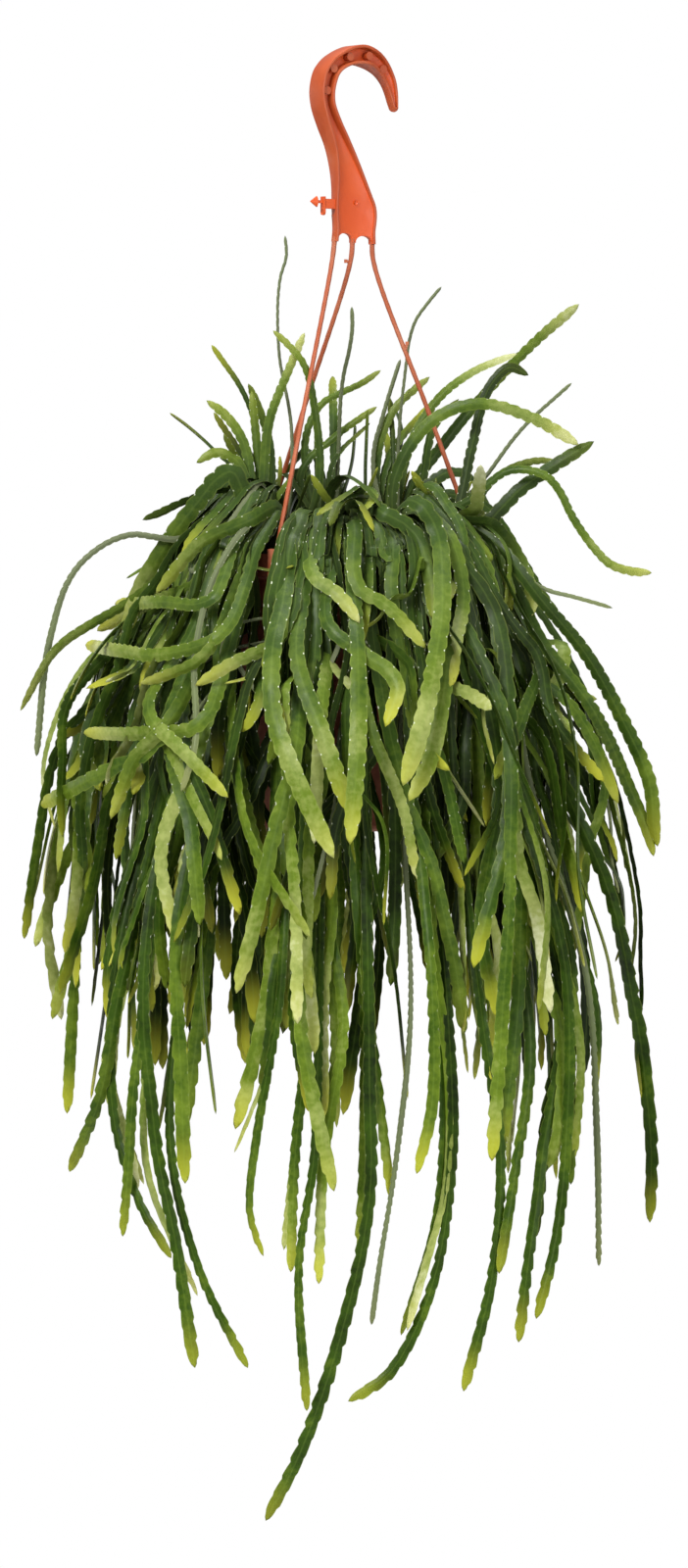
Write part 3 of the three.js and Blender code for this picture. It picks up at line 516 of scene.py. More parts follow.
def make_hook(bm):
    """The hook and plate, swept along the middle line, with the tip rounded off."""
    line = spline(HOOK_LINE, HOOK_STATIONS)
    corners = len(hook_section(5, 5, 2))
    rows = HOOK_STATIONS + TIP_RINGS - 1
    grid = bmesh.ops.create_grid(bm, x_segments=corners, y_segments=rows, size=1)
    rings = {}
    for vert in grid["verts"]:
        rings.setdefault(round((vert.co.y + 1) / 2 * rows), []).append(vert)
    for ring, verts in rings.items():
        verts.sort(key=lambda v: v.co.x)
        i = max(ring - TIP_RINGS, 0)
        across, up, half = line[i]
        along = line[min(i + 1, HOOK_STATIONS - 1)][:2] - line[max(i - 1, 0)][:2]
        along = along / np.linalg.norm(along)
        depth = hook_depth(across, up)
        beyond = max(TIP_RINGS - 1 - ring, 0) / (TIP_RINGS - 1)
        narrow = math.sqrt(max(1 - beyond ** 2, 0.02))
        web = WEB_DEPTH if ring >= TIP_RINGS else depth - 0.04
        section = hook_section(half, depth, web)
        for k, vert in enumerate(verts):
            a, d = section[k % corners]
            x = across - along[0] * beyond * TIP_REACH + along[1] * a * narrow
            y = up - along[1] * beyond * TIP_REACH - along[0] * a * narrow
            vert.co = (x, y, d * narrow)
    first, last = (rings[ring][:corners] for ring in (0, rows))
    for k in range(corners // 2 - 1):
        for ends in (first, last[::-1]):
            bm.faces.new([ends[k], ends[-1 - k], ends[-2 - k], ends[k + 1]])
    bmesh.ops.remove_doubles(bm, verts=bm.verts, dist=0.004)
    make_studs(bm, line)


def make_studs(bm, line):
    """Round bosses and cross ribs in turn in the hook's hollow side."""
    gone = np.concatenate([[0], np.cumsum(steps_of(line[:, :2]))])
    for k in range(STUD_COUNT):
        i = int(np.searchsorted(gone, FIRST_STUD + STUD_PITCH * k))
        across, up, half = line[i]
        along = line[i + 1][:2] - line[i - 1][:2]
        turn = Matrix.Rotation(math.atan2(along[1], along[0]), 4, "Z")
        depth = hook_depth(across, up)
        place = Matrix.Translation((across, up, 0))
        if k % 2:
            add_box(bm, (RIB_WIDTH, 2 * half - 2 * RIB_GAP, depth - 2 * RIB_SINK), place @ turn)
        else:
            add_round(bm, 24, BOSS_RADIUS, BOSS_RADIUS, depth - 2 * BOSS_SINK, place)


def arch_tool():
    """The two openings between the arms, as one shape to cut away."""
    tool = bmesh.new()
    for middle, top, reach in ARCHES:
        place = Matrix.Translation((middle, top - ARCH_HEIGHT, 0))
        crown = add_round(tool, 40, 1, 1, 12, place @ Matrix.Diagonal((reach, ARCH_HEIGHT, 1, 1)))
        for vert in crown:
            if vert.co.y < top - ARCH_HEIGHT - 0.01:
                vert.co.y = PLATE_BOTTOM - 4
                vert.co.x = middle + math.copysign(reach, vert.co.x - middle)
    bmesh.ops.remove_doubles(tool, verts=tool.verts, dist=0.001)
    bmesh.ops.transform(tool, matrix=hook_to_part, verts=tool.verts)
    bmesh.ops.recalc_face_normals(tool, faces=tool.faces)
    return tool


PEG_END = (-21.5, -75.0, 0)
PEG_HEAD = (-27.5, -69.7, 0)
DOT_PLACE = (-2.4, -69.6, 0)
DOT_SINK = 0.5

# Boxes of the snap peg on the plate's left edge, as middle (across, up) and size
PEG_BOXES = (
    ((-17.6, -70.6), (7.0, 4.9, 3.0)), ((-21.5, -71.0), (1.3, 8.0, 3.0)),
    ((-23.9, -69.7), (4.4, 1.5, 1.5)),
)


def make_peg(bm):
    """The snap peg with its tab, and the small raised ring on the plate's face."""
    for (across, up), size in PEG_BOXES:
        add_box(bm, size, Matrix.Translation((across, up, 0)))
    quarter = Matrix.Rotation(-math.pi / 2, 4, "Y")
    flat = Matrix.Diagonal((1, 1, 0.55, 1))
    add_round(bm, 24, 1.5, 1.5, 1.3, Matrix.Translation(PEG_END) @ quarter)
    add_round(bm, 24, 2.9, 0.3, 3.9, Matrix.Translation(PEG_HEAD) @ flat @ quarter)
    dot = add_round(bm, 28, 1.3, 1.15, WEB_DEPTH + 1.2, Matrix.Translation(DOT_PLACE))
    faces = {face for vert in dot for face in vert.link_faces if len(face.verts) > 4}
    bmesh.ops.inset_region(bm, faces=list(faces), thickness=0.45, depth=0)
    sunk = [vert for face in faces for vert in face.verts if vert.co.z > 0]
    bmesh.ops.translate(bm, vec=(0, 0, -DOT_SINK), verts=sunk)


def carried(line, side):
    """The direction at each place along a line, and a side that turns with it."""
    tangents = np.gradient(line, axis=0)
    tangents /= np.linalg.norm(tangents, axis=1)[:, None]
    sides = np.empty_like(line)
    for i, tangent in enumerate(tangents):
        side = side - tangent * side.dot(tangent)
        side /= math.sqrt(side.dot(side))
        sides[i] = side
    return tangents, sides


def sweep(bm, line, radii, corners, roll=0.0):
    """A round bar along a line, closed at both ends."""
    steps = len(line) - 1
    ball = bmesh.ops.create_uvsphere(bm, u_segments=corners, v_segments=steps, radius=1)["verts"]
    tangents, sides = carried(line, np.array([1.0, 0, 0]))
    lifts = np.cross(tangents, sides)
    for vert in ball:
        i = round((1 - math.acos(max(-1, min(1, vert.co.z))) / math.pi) * steps)
        angle = math.atan2(vert.co.y, vert.co.x) + roll
        radius = radii[i] if abs(vert.co.z) < 0.9999999 else 0
        vert.co = line[i] + radius * (math.cos(angle) * sides[i] + math.sin(angle) * lifts[i])


def arm_line(i):
    top = hook_point(ARM_STARTS[i], PLATE_BOTTOM + 4)
    neck = hook_point(ARM_NECKS[i], PLATE_BOTTOM - 9)
    foot = around_pot(RIM_RADIUS - 2, ARM_ANGLES[i], RIM_TOP + 1.3)
    return spline([top, neck, (neck + foot) / 2, foot], ARM_PLACES)


# Small nubs left on the arms: arm, share of its length, how far aside and up
NUBS = ((1, 0.075, -2.2, 0.8), (2, 0.36, 0.9, 4.2))
NUB_RADIUS = 0.85
NUB_CAP = (1.8, 1.8, 1.8)
CLIP_WIDTH = 6


def make_arms(bm):
    """Three slim arms with faint ripples along them, two small nubs, and the clips on the lip."""
    for i, angle in enumerate(ARM_ANGLES):
        line = arm_line(i)
        flare = ARM_FLARE * np.exp(-np.arange(ARM_PLACES) / 4.0)
        ripple = ARM_RIPPLE * np.sin(np.arange(ARM_PLACES) * 1.7)
        sweep(bm, line, ARM_RADIUS + flare + ripple, 6, math.radians(30))
        clip = [
            (RIM_RADIUS - 5.5, RIM_TOP + 0.3), (RIM_RADIUS + 0.5, RIM_TOP + 0.3),
            (RIM_RADIUS + 0.5, LIP_BOTTOM - 0.3), (RIM_RADIUS - 3.2, LIP_BOTTOM - 0.3),
            (RIM_RADIUS - 3.2, LIP_BOTTOM - 2.3), (RIM_RADIUS + 2.5, LIP_BOTTOM - 2.3),
            (RIM_RADIUS + 2.5, RIM_TOP + 2.3), (RIM_RADIUS - 5.5, RIM_TOP + 2.3),
        ]
        outline = bm.faces.new([bm.verts.new((r, -CLIP_WIDTH / 2, z)) for r, z in clip])
        solid = bmesh.ops.extrude_face_region(bm, geom=[outline])["geom"]
        moved = [v for v in solid if isinstance(v, bmesh.types.BMVert)]
        bmesh.ops.translate(bm, vec=(0, CLIP_WIDTH, 0), verts=moved)
        verts = list(set(moved) | set(outline.verts))
        place = Matrix.Translation((*POT_AXIS, 0)) @ Matrix.Rotation(math.radians(angle), 4, "Z")
        bmesh.ops.transform(bm, matrix=place, verts=verts)
        bmesh.ops.recalc_face_normals(bm, faces=list({f for v in verts for f in v.link_faces}))
    for arm, share, aside, rise in NUBS:
        foot = arm_line(arm)[round(share * (ARM_PLACES - 1))]
        line = spline([foot, foot + (aside, 0, rise)], 6)
        sweep(bm, line, np.full(6, NUB_RADIUS), 6)
        add_box(bm, NUB_CAP, Matrix.Translation(line[-1]))


# Faces this far out of the web take a darker copy of the plastic, as painted shade, and edges sharper
# than this stay sharp
PROUD = 0.6
SHARP_EDGE = math.radians(42)


def make_hanger():
    bm = bmesh.new()
    make_hook(bm)
    for face in bm.faces:
        proud = max(abs(vert.co.z) for vert in face.verts) > WEB_DEPTH / 2 + PROUD
        face.material_index = 1 if proud else 0
    bmesh.ops.recalc_face_normals(bm, faces=bm.faces)
    bmesh.ops.transform(bm, matrix=hook_to_part, verts=bm.verts)
    # The second and third skins are darker copies of the same orange plastic: painted shade on the proud
    # flange faces and on the arms
    skins = [
        hanger_plastic("moulded_polypropylene_orange", "#C94A0B", "#CE510F", "#C75A25"),
        hanger_plastic("shaded_flange_polypropylene_orange", "#A6431A", "#AD4B20", "#B05A38"),
        hanger_plastic("shaded_arm_polypropylene_orange", "#A14E2C", "#A85836", "#B06A4C"),
    ]
    hanger = finish_piece("moulded_hanger", bm, skins, ["hanger"])
    cut_away(hanger, arch_tool())
    bm = bmesh.new()
    make_peg(bm)
    bmesh.ops.transform(bm, matrix=hook_to_part, verts=bm.verts)
    hook_faces = set(bm.faces)
    make_arms(bm)
    # Arms, nubs and clips take the third skin, a darker copy of the plastic painted as shade
    for face in bm.faces:
        face.material_index = 0 if face in hook_faces else 2
    bmesh.ops.recalc_face_normals(bm, faces=bm.faces)
    to_metres(bm)
    bm.from_mesh(hanger.data)
    bm.to_mesh(hanger.data)
    bm.free()
    hanger.data.polygons.foreach_set("use_smooth", [True] * len(hanger.data.polygons))
    hanger.data.set_sharp_from_angle(angle=SHARP_EDGE)


# Stems

# Clumps stand on a circle in the pot. A stem passes over the rim, where a guard circle inside
# the lip keeps it off, and drapes from there.
CLUMP_COUNT = 6
CLUMP_CIRCLE = 38
FIRST_CLUMP = 35
CROWN_Z = -254
RIM_GUARD = 20
RIM_GUARD_RADIUS = 66
OVER_RIM_RADIUS = 52
OVER_RIM_Z = -238
DRAPE_TOP = -256
DRAPE_RADIUS = 86
DRAPE_PLACES = 4
CLUMP_NAMES = (
    "stems_back_right", "stems_back", "stems_back_left",
    "stems_front_left", "stems_front", "stems_front_right",
)

# Outer radius of the mop of stems at each height. It starts lower on its right side.
MOP_HEIGHTS = (-750, -620, -430, -366, -316, -266, -240, -216, -170, -90)
MOP_RADII = (120, 150, 155, 151, 138, 109, 92, 78, 58, 40)
MOP_LEAN = 14


def mop_radius(z, angle_deg=90.0):
    return float(np.interp(z + MOP_LEAN * math.cos(math.radians(angle_deg)), MOP_HEIGHTS, MOP_RADII))


# Stems that stand up out of the crown, as seen from the front: clump, width, depth at the
# tip, tone from dark to pale, how yellow the tip is, then (across, up) from the clump out
RISING = [
    (3, 2.6, -16, 0.2, 0.0, [(-34, -216), (-34, -182), (-40, -147), (-40, -112), (-36, -95), (-37, -87)]),
    (3, 6.0, -30, 0.5, 0.5, [(-20, -215), (-22, -175), (-28, -152), (-43, -136)]),
    (3, 7.0, -27, 0.7, 0.9, [(-47, -206), (-45, -182), (-36, -158), (-27, -137)]),
    (1, 3.2, 28, 0.3, 0.0, [(-10, -200), (-8, -161), (-3, -136), (-3, -121)]),
    (0, 2.6, 24, 0.3, 0.0, [(21, -190), (24, -158), (29, -130), (43, -111)]),
    (0, 3.4, 27, 0.3, 0.1, [(9, -200), (14, -174), (22, -148)]),
    (1, 6.0, 44, 0.55, 0.4, [(-27, -190), (-18, -170), (0, -161), (12, -153)]),
    (0, 6.5, 30, 0.6, 0.4, [(8, -205), (18, -175), (37, -157)]),
    (1, 6.0, 38, 0.5, 0.4, [(-29, -206), (-12, -188), (10, -172)]),
    (3, 7.5, -18, 0.5, 0.5, [(-57, -196), (-66, -180), (-77, -171)]),
    (2, 6.5, 16, 0.4, 0.4, [(-44, -200), (-48, -181), (-56, -161)]),
    (3, 6.5, -14, 0.5, 0.4, [(-50, -210), (-52, -187), (-54, -166)]),
    (3, 7.5, -25, 0.5, 0.4, [(-58, -205), (-68, -197), (-82, -203)]),
    (0, 8.5, 44, 0.62, 0.3, [(26, -220), (45, -190), (73, -157), (95, -135), (114, -119)]),
    (0, 7.5, 32, 0.72, 0.4, [(22, -205), (40, -170), (60, -154), (82, -145)]),
    (5, 8.0, -12, 0.12, 0.1, [(52, -220), (58, -195), (66, -166), (77, -154), (87, -158)]),
    (5, 9.5, -28, 0.7, 1.0, [(18, -215), (36, -183), (61, -173), (90, -181), (112, -194)]),
    (0, 3.2, 34, 0.3, 0.1, [(60, -215), (84, -184), (110, -160)]),
    (5, 11.0, -24, 0.15, 0.2, [(62, -236), (82, -217), (102, -203), (120, -192)]),
    (0, 6.5, 24, 0.55, 0.3, [(58, -222), (72, -208), (88, -201), (101, -200)]),
    (5, 6.5, -34, 0.62, 0.7, [(56, -222), (77, -207), (97, -211), (112, -236), (130, -256), (149, -259)]),
    (5, 4.0, -40, 0.5, 0.5, [(70, -250), (92, -266), (112, -272), (129, -277)]),
    (5, 10.0, -58, 0.9, 0.3, [(58, -228), (61, -216), (62, -205)]),
    (3, 5.0, -30, 0.4, 0.2, [(-90, -242), (-118, -240), (-143, -257), (-156, -292), (-163, -352)]),
    (3, 8.5, -34, 0.62, 0.6, [(-100, -262), (-133, -283), (-154, -299), (-171, -329)]),
]

# Stems that arch out and hang, as seen from the front: width, share of the mop's radius,
# tone, how yellow the tip is, then (across, up) from where they first show to the tip
HANGING = [
    (11.0, 0.97, 0.8, 0.6, [(30, -222), (40, -236), (43, -270), (40, -300), (33, -335), (23, -367)]),
    (9.5, 0.90, 0.65, 0.5, [(46, -300), (43, -325), (36, -355), (26, -375)]),
    (10.0, 0.88, 0.5, 0.3, [(12, -228), (27, -238), (35, -260), (38, -282)]),
    (9.5, 0.92, 0.35, 0.8, [(56, -256), (70, -279), (77, -325), (76, -391), (66, -433), (59, -460)]),
    (10.0, 0.92, 0.75, 0.5, [(61, -230), (73, -238), (84, -256), (93, -280)]),
    (8.5, 1.00, 0.5, 0.6, [(94, -272), (116, -299), (134, -331), (150, -368), (153, -398)]),
    (8.0, 0.96, 0.5, 0.6, [(118, -325), (138, -367), (151, -403)]),
    (9.0, 0.93, 0.7, 0.5, [(0, -266), (16, -276), (35, -297)]),
    (9.0, 0.90, 0.8, 1.0, [(54, -270), (48, -300), (46, -317)]),
    (9.0, 0.97, 0.65, 1.0, [(-15, -285), (4, -300), (20, -314), (14, -337)]),
    (11.0, 0.95, 0.75, 0.5, [(-65, -206), (-85, -226), (-106, -258), (-121, -292)]),
    (9.0, 1.00, 0.7, 0.5, [(-58, -233), (-80, -243), (-103, -269)]),
    (8.0, 0.98, 0.8, 1.0, [(-70, -290), (-100, -300), (-120, -298), (-139, -295)]),
    (8.0, 0.90, 0.8, 1.0, [(-80, -262), (-105, -273), (-133, -288)]),
    (8.5, 0.97, 0.8, 0.8, [(-42, -292), (-62, -303), (-83, -316)]),
    (8.0, 0.98, 0.7, 0.7, [(-75, -272), (-100, -273), (-124, -274)]),
    (8.5, 0.97, 0.7, 0.7, [(-80, -335), (-110, -340), (-140, -340)]),
    (8.0, 0.99, 0.7, 0.7, [(-78, -300), (-94, -309), (-111, -315)]),
    (9.5, 0.98, 0.6, 0.6, [(-105, -345), (-130, -360), (-162, -377)]),
    (9.0, 0.97, 0.65, 0.6, [(-96, -335), (-113, -354), (-126, -384)]),
    (4.0, 0.96, 0.6, 0.6, [(-57, -235), (-74, -263), (-83, -300), (-83, -345), (-90, -370)]),
    (8.0, 1.00, 0.65, 0.6, [(-107, -327), (-88, -350), (-66, -373)]),
    (11.0, 1.00, 0.7, 0.4, [(-43, -300), (-43, -330), (-30, -366), (-12, -404)]),
    (10.0, 0.98, 0.68, 0.4, [(-33, -350), (-42, -389), (-51, -430), (-62, -473)]),
    (10.0, 0.95, 0.65, 0.7, [(-32, -300), (-18, -340), (-4, -381)]),
    (10.0, 0.98, 0.7, 0.7, [(0, -300), (0, -350), (-4, -397)]),
    (9.0, 0.97, 0.8, 0.5, [(-23, -259), (-9, -270), (1, -284)]),
    (7.8, 0.74, 0.3, 0.4, [(5, -445), (6, -516), (6, -577), (-8, -645), (-29, -706), (-47, -742)]),
    (5.8, 0.80, 0.35, 0.5, [(-20, -500), (-22, -555), (-30, -612), (-26, -686)]),
    (8.5, 0.90, 0.6, 0.4, [(-30, -480), (-20, -539), (-12, -574)]),
    (6.0, 0.78, 0.4, 0.6, [(-40, -480), (-51, -542), (-55, -585), (-48, -607)]),
    (3.4, 0.74, 0.35, 0.2, [(27, -480), (20, -555), (11, -612), (7, -642)]),
    (6.5, 0.82, 0.3, 0.4, [(46, -480), (48, -560), (38, -622), (16, -667), (-5, -681)]),
    (7.0, 0.92, 0.5, 0.8, [(38, -470), (38, -530), (30, -565)]),
    (6.5, 0.85, 0.35, 0.6, [(64, -490), (73, -555), (68, -620), (54, -676)]),
    (7.0, 0.88, 0.35, 0.5, [(88, -500), (80, -565), (72, -616)]),
    (7.0, 0.90, 0.35, 0.6, [(104, -480), (94, -560), (87, -610), (82, -651)]),
    (7.0, 0.95, 0.35, 0.5, [(106, -460), (106, -555), (101, -600), (91, -639)]),
    (4.0, 0.96, 0.4, 0.4, [(116, -460), (122, -545), (123, -612)]),
    (9.0, 1.00, 0.3, 0.5, [(128, -420), (142, -486), (150, -550), (149, -590)]),
    (7.5, 0.96, 0.4, 0.5, [(-120, -460), (-131, -523), (-147, -564)]),
    (6.5, 0.93, 0.3, 0.4, [(-121, -440), (-125, -530), (-112, -578), (-95, -608)]),
    (7.5, 0.92, 0.35, 0.4, [(-106, -430), (-104, -540), (-93, -600), (-83, -664)]),
    (6.0, 0.86, 0.35, 0.4, [(-96, -540), (-82, -611), (-56, -664)]),
    (8.5, 0.93, 0.5, 0.6, [(-92, -440), (-90, -520), (-88, -570)]),
    (6.0, 0.97, 0.4, 0.4, [(-110, -470), (-117, -560), (-120, -597)]),
]

# Every shared random draw comes from the same seeded sequence as in the CAD model
draw_state = 20417


def draw():
    global draw_state
    draw_state = (draw_state * 1664525 + 1013904223) % 2 ** 32
    return draw_state / 2 ** 32


def clump_angle(k):
    return FIRST_CLUMP + 360 / CLUMP_COUNT * k


def clump_centre(k, z=0.0):
    return around_pot(CLUMP_CIRCLE, clump_angle(k), z)


def clump_at(angle):
    return min(range(CLUMP_COUNT), key=lambda k: abs((angle - clump_angle(k) + 180) % 360 - 180))


def as_seen(place):
    """Draws a place in toward the view's middle, so that it shows where the photo has it."""
    share = (VIEW_DISTANCE + place[1]) / VIEW_DISTANCE
    x = view_centre[0] + (place[0] - view_centre[0]) * share
    z = view_centre[1] + (place[2] - view_centre[1]) * share
    return np.array([x, place[1], z])


# Ranges of a stem's roll about itself, in degrees: laid from the listed rows, by rule
LAID_ROLL = 36
RULED_ROLL = 50

# The stems that stand up are thinner, paler and less yellow than their rows say
RISING_WIDTH = 0.8
RISING_TONE = 1.15
RISING_RIPE = 0.5


def laid_stem(clump, width, points, tone, ripe, shown_places):
    """A stem laid out from listed places, whose last places show in the photo."""
    return dict(clump=clump, width=width, points=points, shown=True, tone=tone, ripe=ripe,
                route=points[-shown_places:], roll=(draw() - 0.5) * LAID_ROLL)


def rising_stem(clump, width, tip_depth, tone, ripe, route):
    start = clump_centre(clump)[1]
    points = []
    for i, (x, z) in enumerate(route):
        share = min(1, (i + 1) / min(3, len(route)))
        points.append(np.array([x, start + (tip_depth - start) * share, z]))
    if radius_of(points[0]) > RIM_GUARD_RADIUS:
        points.insert(0, around_pot(OVER_RIM_RADIUS, angle_of(points[0]), OVER_RIM_Z + 6))
    return laid_stem(
        clump, RISING_WIDTH * width, points, RISING_TONE * tone, RISING_RIPE * ripe, len(route))


# A stem that first shows beyond this radius, or below these heights, is led there over the
# rim. Every place of it stays this far in front of the pot's axis.
OVER_RIM_FROM = 68
DRAPED_BELOW = -262
LED_BELOW = -310
LEAST_DEPTH = 8


def hanging_stem(width, share, tone, ripe, route):
    shown = []
    for x, z in route:
        reach = mop_radius(z) * share
        depth = math.sqrt(max(reach ** 2 - (x - POT_AXIS[0]) ** 2, LEAST_DEPTH ** 2))
        shown.append(np.array([x, -depth, z]))
    angle = angle_of(shown[0])
    clump = clump_at(angle_of(shown[len(shown) // 2]))
    first = radius_of(shown[0])
    top = shown[0][2]
    lift = draw() * 12
    points = []
    if first > OVER_RIM_FROM:
        points.append(around_pot(OVER_RIM_RADIUS + lift / 2, angle, OVER_RIM_Z + lift))
    if top < DRAPED_BELOW:
        points.append(around_pot(DRAPE_RADIUS, angle, max(DRAPE_TOP, top + 30)))
    if top < LED_BELOW:
        radius = DRAPE_RADIUS + (first - DRAPE_RADIUS) * 0.4
        points.append(around_pot(radius, angle, (DRAPE_TOP + top) / 2))
    points.extend(as_seen(place) for place in shown)
    return laid_stem(clump, width, points, tone, ripe, len(route))


def draped(angle, share, end, drift, apex, slant, kick, wave=0.0):
    """Places of a stem that passes over the rim at the apex, slants out to its share of
    the mop's radius over a height, then hangs, drifts round as it falls and kicks out at
    its tip."""
    points = [around_pot(OVER_RIM_RADIUS, angle, apex)]
    for i in range(1, DRAPE_PLACES + 1):
        t = i / DRAPE_PLACES
        z = DRAPE_TOP + (end - DRAPE_TOP) * t
        course = angle + drift * t + wave * math.sin(5 * t)
        out = min(1, (DRAPE_TOP + 12 - z) / slant)
        radius = DRAPE_RADIUS + (mop_radius(z, course) * share - DRAPE_RADIUS) * out
        points.append(around_pot(radius + kick * t * t, course, z))
    return points


# The crown is low at the front, so that its stems start lower there
APEX_RANGE = (34, 34, 34, 30, 12, 26)


def ruled_stem(clump):
    """A stem by rule: it rises from its clump, passes over the rim and hangs."""
    angle = clump_angle(clump) + (draw() - 0.5) * 54
    share = 0.7 + 0.3 * draw() ** 0.7
    end = -300 - 290 * draw() ** 1.4
    drift = (draw() - 0.5) * 26
    apex = OVER_RIM_Z - 4 + APEX_RANGE[clump] * draw()
    slant = 20 + 110 * draw()
    kick = 24 * draw() ** 2
    width = 6.5 + 3.5 * draw()
    points = draped(angle, share, end, drift, apex, slant, kick)
    return dict(clump=clump, width=width, points=points, shown=False, roll=(draw() - 0.5) * RULED_ROLL)


def ruled_shoot(clump):
    """A young stem by rule, which stands up out of the crown."""
    angle = clump_angle(clump) + (draw() - 0.5) * 40
    height = -205 + 55 * draw()
    reach = 50 + 42 * draw()
    width = 5 + 3 * draw()
    points = [
        around_pot(44, angle, -228), around_pot(reach * 0.8, angle, height - 14),
        around_pot(reach, angle, height),
    ]
    return dict(clump=clump, width=width, points=points, shown=False, roll=(draw() - 0.5) * RULED_ROLL)


# How many stems each clump grows by the shared rule: hanging, standing
RULED = ((10, 1), (10, 1), (10, 1), (2, 0), (2, 0), (3, 0))

# The stems that only the finished plant has come from their own seed. Each kind has a
# count per clump (back, front) and ranges of share, end, drift, kick, width and tone. The
# share is of the mop's radius. A long stem's is of the length of the stem it hangs beside.
extras = np.random.default_rng(311)
KINDS = {
    "outer": ((17, 22), (0.78, 0.98), (-490, -290), (-28, 28), (0, 22), (6.5, 9.5), (0.2, 0.95)),
    "long": ((22, 24), (0.56, 0.92), (0, 0), (-9, 9), (2, 16), (5.5, 9.0), (0.15, 0.9)),
    # Inner stems take the darkest tones, 0 to 0.14: painted shade inside the mop
    "inner": ((26, 34), (0.56, 0.8), (-530, -350), (-24, 24), (-6, 10), (6.5, 9.0), (0.0, 0.14)),
    "woody": ((3, 4), (0.70, 0.95), (-430, -290), (-40, 40), (-10, 16), (2.2, 3.6), (0.2, 0.4)),
    "spray": ((8, 10), (0.1, 1.0), (-335, -218), (-34, 34), (0, 0), (5.0, 8.5), (0.2, 0.6)),
    "shoot": ((5, 4), (0.3, 1.0), (-215, -140), (-36, 36), (0, 0), (2.6, 6.0), (0.15, 0.55)),
}
FRONT_CLUMPS = (3, 4, 5)
FRONT_SHARE = 0.95

# Long stems hang beside those of the CAD model that end below this height
LONG_BELOW = -400

# Half the angle that a clump's stems fan out over, and how much of it they gain as they fall
FAN_REACH = 30
FAN = 0.35

# How far the places of a stem are strewn, and those of one in a bunch
STREWN = 4
BUNCH_STREWN = 3.5


def beside(guide, share, drift, kick):
    """Places of a stem that hangs in a bunch with another one, a little inside it, and
    ends short of it."""
    line = spline(guide["points"], 41)[:round(41 * share)]
    points = []
    for i in np.linspace(0, len(line) - 1, 7).round().astype(int):
        t = i / 41
        radius = max(radius_of(line[i]) - kick * t, OVER_RIM_RADIUS)
        points.append(around_pot(radius, angle_of(line[i]) + drift * t, line[i][2]))
    return points


def strewn_course(clump, kind, share, end, drift, kick):
    """Places of an added stem that grows out of its clump, with more disorder."""
    if clump in FRONT_CLUMPS:
        share *= FRONT_SHARE
    place_in_fan = extras.uniform(-FAN_REACH, FAN_REACH)
    angle = clump_angle(clump) + place_in_fan * (1 - FAN)
    drift += place_in_fan * FAN
    apex = OVER_RIM_Z - 4 + APEX_RANGE[clump] * extras.uniform()
    if kind == "shoot":
        reach = 30 + 42 * share
        return [
            around_pot(34, angle, -236), around_pot(reach * 0.75, angle + drift / 3, end - 26),
            around_pot(reach, angle + drift, end),
        ]
    if kind == "spray":
        apex = max(apex, end + 14)
        reach = 72 + (mop_radius(end, angle) * 1.06 - 72) * share
        return [
            around_pot(40, angle, apex - 14), around_pot(0.58 * reach, angle + 0.3 * drift, apex),
            around_pot(0.82 * reach, angle + 0.6 * drift, 0.5 * (apex + end) + 5),
            around_pot(reach, angle + drift, end),
        ]
    slant = extras.uniform(20, 130)
    return draped(angle, share, end, drift, apex, slant, kick, extras.normal(0, 5))


def filling_stem(clump, kind, guides):
    """A stem that only the finished plant has, in a bunch with a long one or by itself."""
    share, end, drift, kick, width, tone = (extras.uniform(*ends) for ends in KINDS[kind][1:])
    bunched = kind == "long"
    if bunched:
        guide = guides[int(extras.uniform(0, len(guides)))]
        points = beside(guide, share, drift, kick)
    else:
        points = strewn_course(clump, kind, share, end, drift, kick)
    for place in points[1:]:
        place += extras.normal(0, BUNCH_STREWN if bunched else STREWN, 3)
    ripe = extras.uniform(0.0, 1.0) ** (1 if bunched else 1.2)
    return dict(clump=clump, width=width, points=points, shown=False, tone=tone, ripe=ripe,
                woody=0.8 if kind == "woody" else 0.0, inner=kind == "inner", roll=extras.normal(0, 34))


def in_view(line):
    """Where places show in the photo's view, with their depth."""
    share = VIEW_DISTANCE / (VIEW_DISTANCE + line[:, 1])
    x = view_centre[0] + (line[:, 0] - view_centre[0]) * share
    z = view_centre[1] + (line[:, 2] - view_centre[1]) * share
    return np.column_stack([x, z, np.zeros(len(line))]), line[:, 1]


# Added stems hide few of the places that show in the photo. The two front arms show down
# to these heights, and their places count more than once.
ARM_FOOT_Z = (-244, None, -205)
ARM_WEIGHT = 4
ARM_ROOM = 4.5
SIGHT_STEP = 6
HIDDEN_LIMIT = 3
TRIES = 14


def tree_of(places):
    tree = kdtree.KDTree(len(places))
    for i, place in enumerate(places):
        tree.insert(place, i)
    tree.balance()
    return tree


def kept_in_sight(stems):
    """The arms and the stems that the photo shows, as a tree of places in its view, with
    the depth of each and the room that it takes."""
    views, depths, rooms = [], [], []
    for arm, foot_z in enumerate(ARM_FOOT_Z):
        if foot_z:
            rod = arm_line(arm)
            view, depth = in_view(rod[rod[:, 2] > foot_z])
            views += [view] * ARM_WEIGHT
            depths += [depth] * ARM_WEIGHT
            rooms += [np.full(len(view), ARM_ROOM)] * ARM_WEIGHT
    for stem in stems:
        if stem["shown"]:
            length = steps_of(stem["route"]).sum()
            view, depth = in_view(spline(stem["route"], max(4, round(length / SIGHT_STEP))))
            views.append(view)
            depths.append(depth)
            rooms.append(np.full(len(view), 1.5 + 0.3 * stem["width"]))
    return tree_of(np.concatenate(views)), np.concatenate(depths), np.concatenate(rooms)


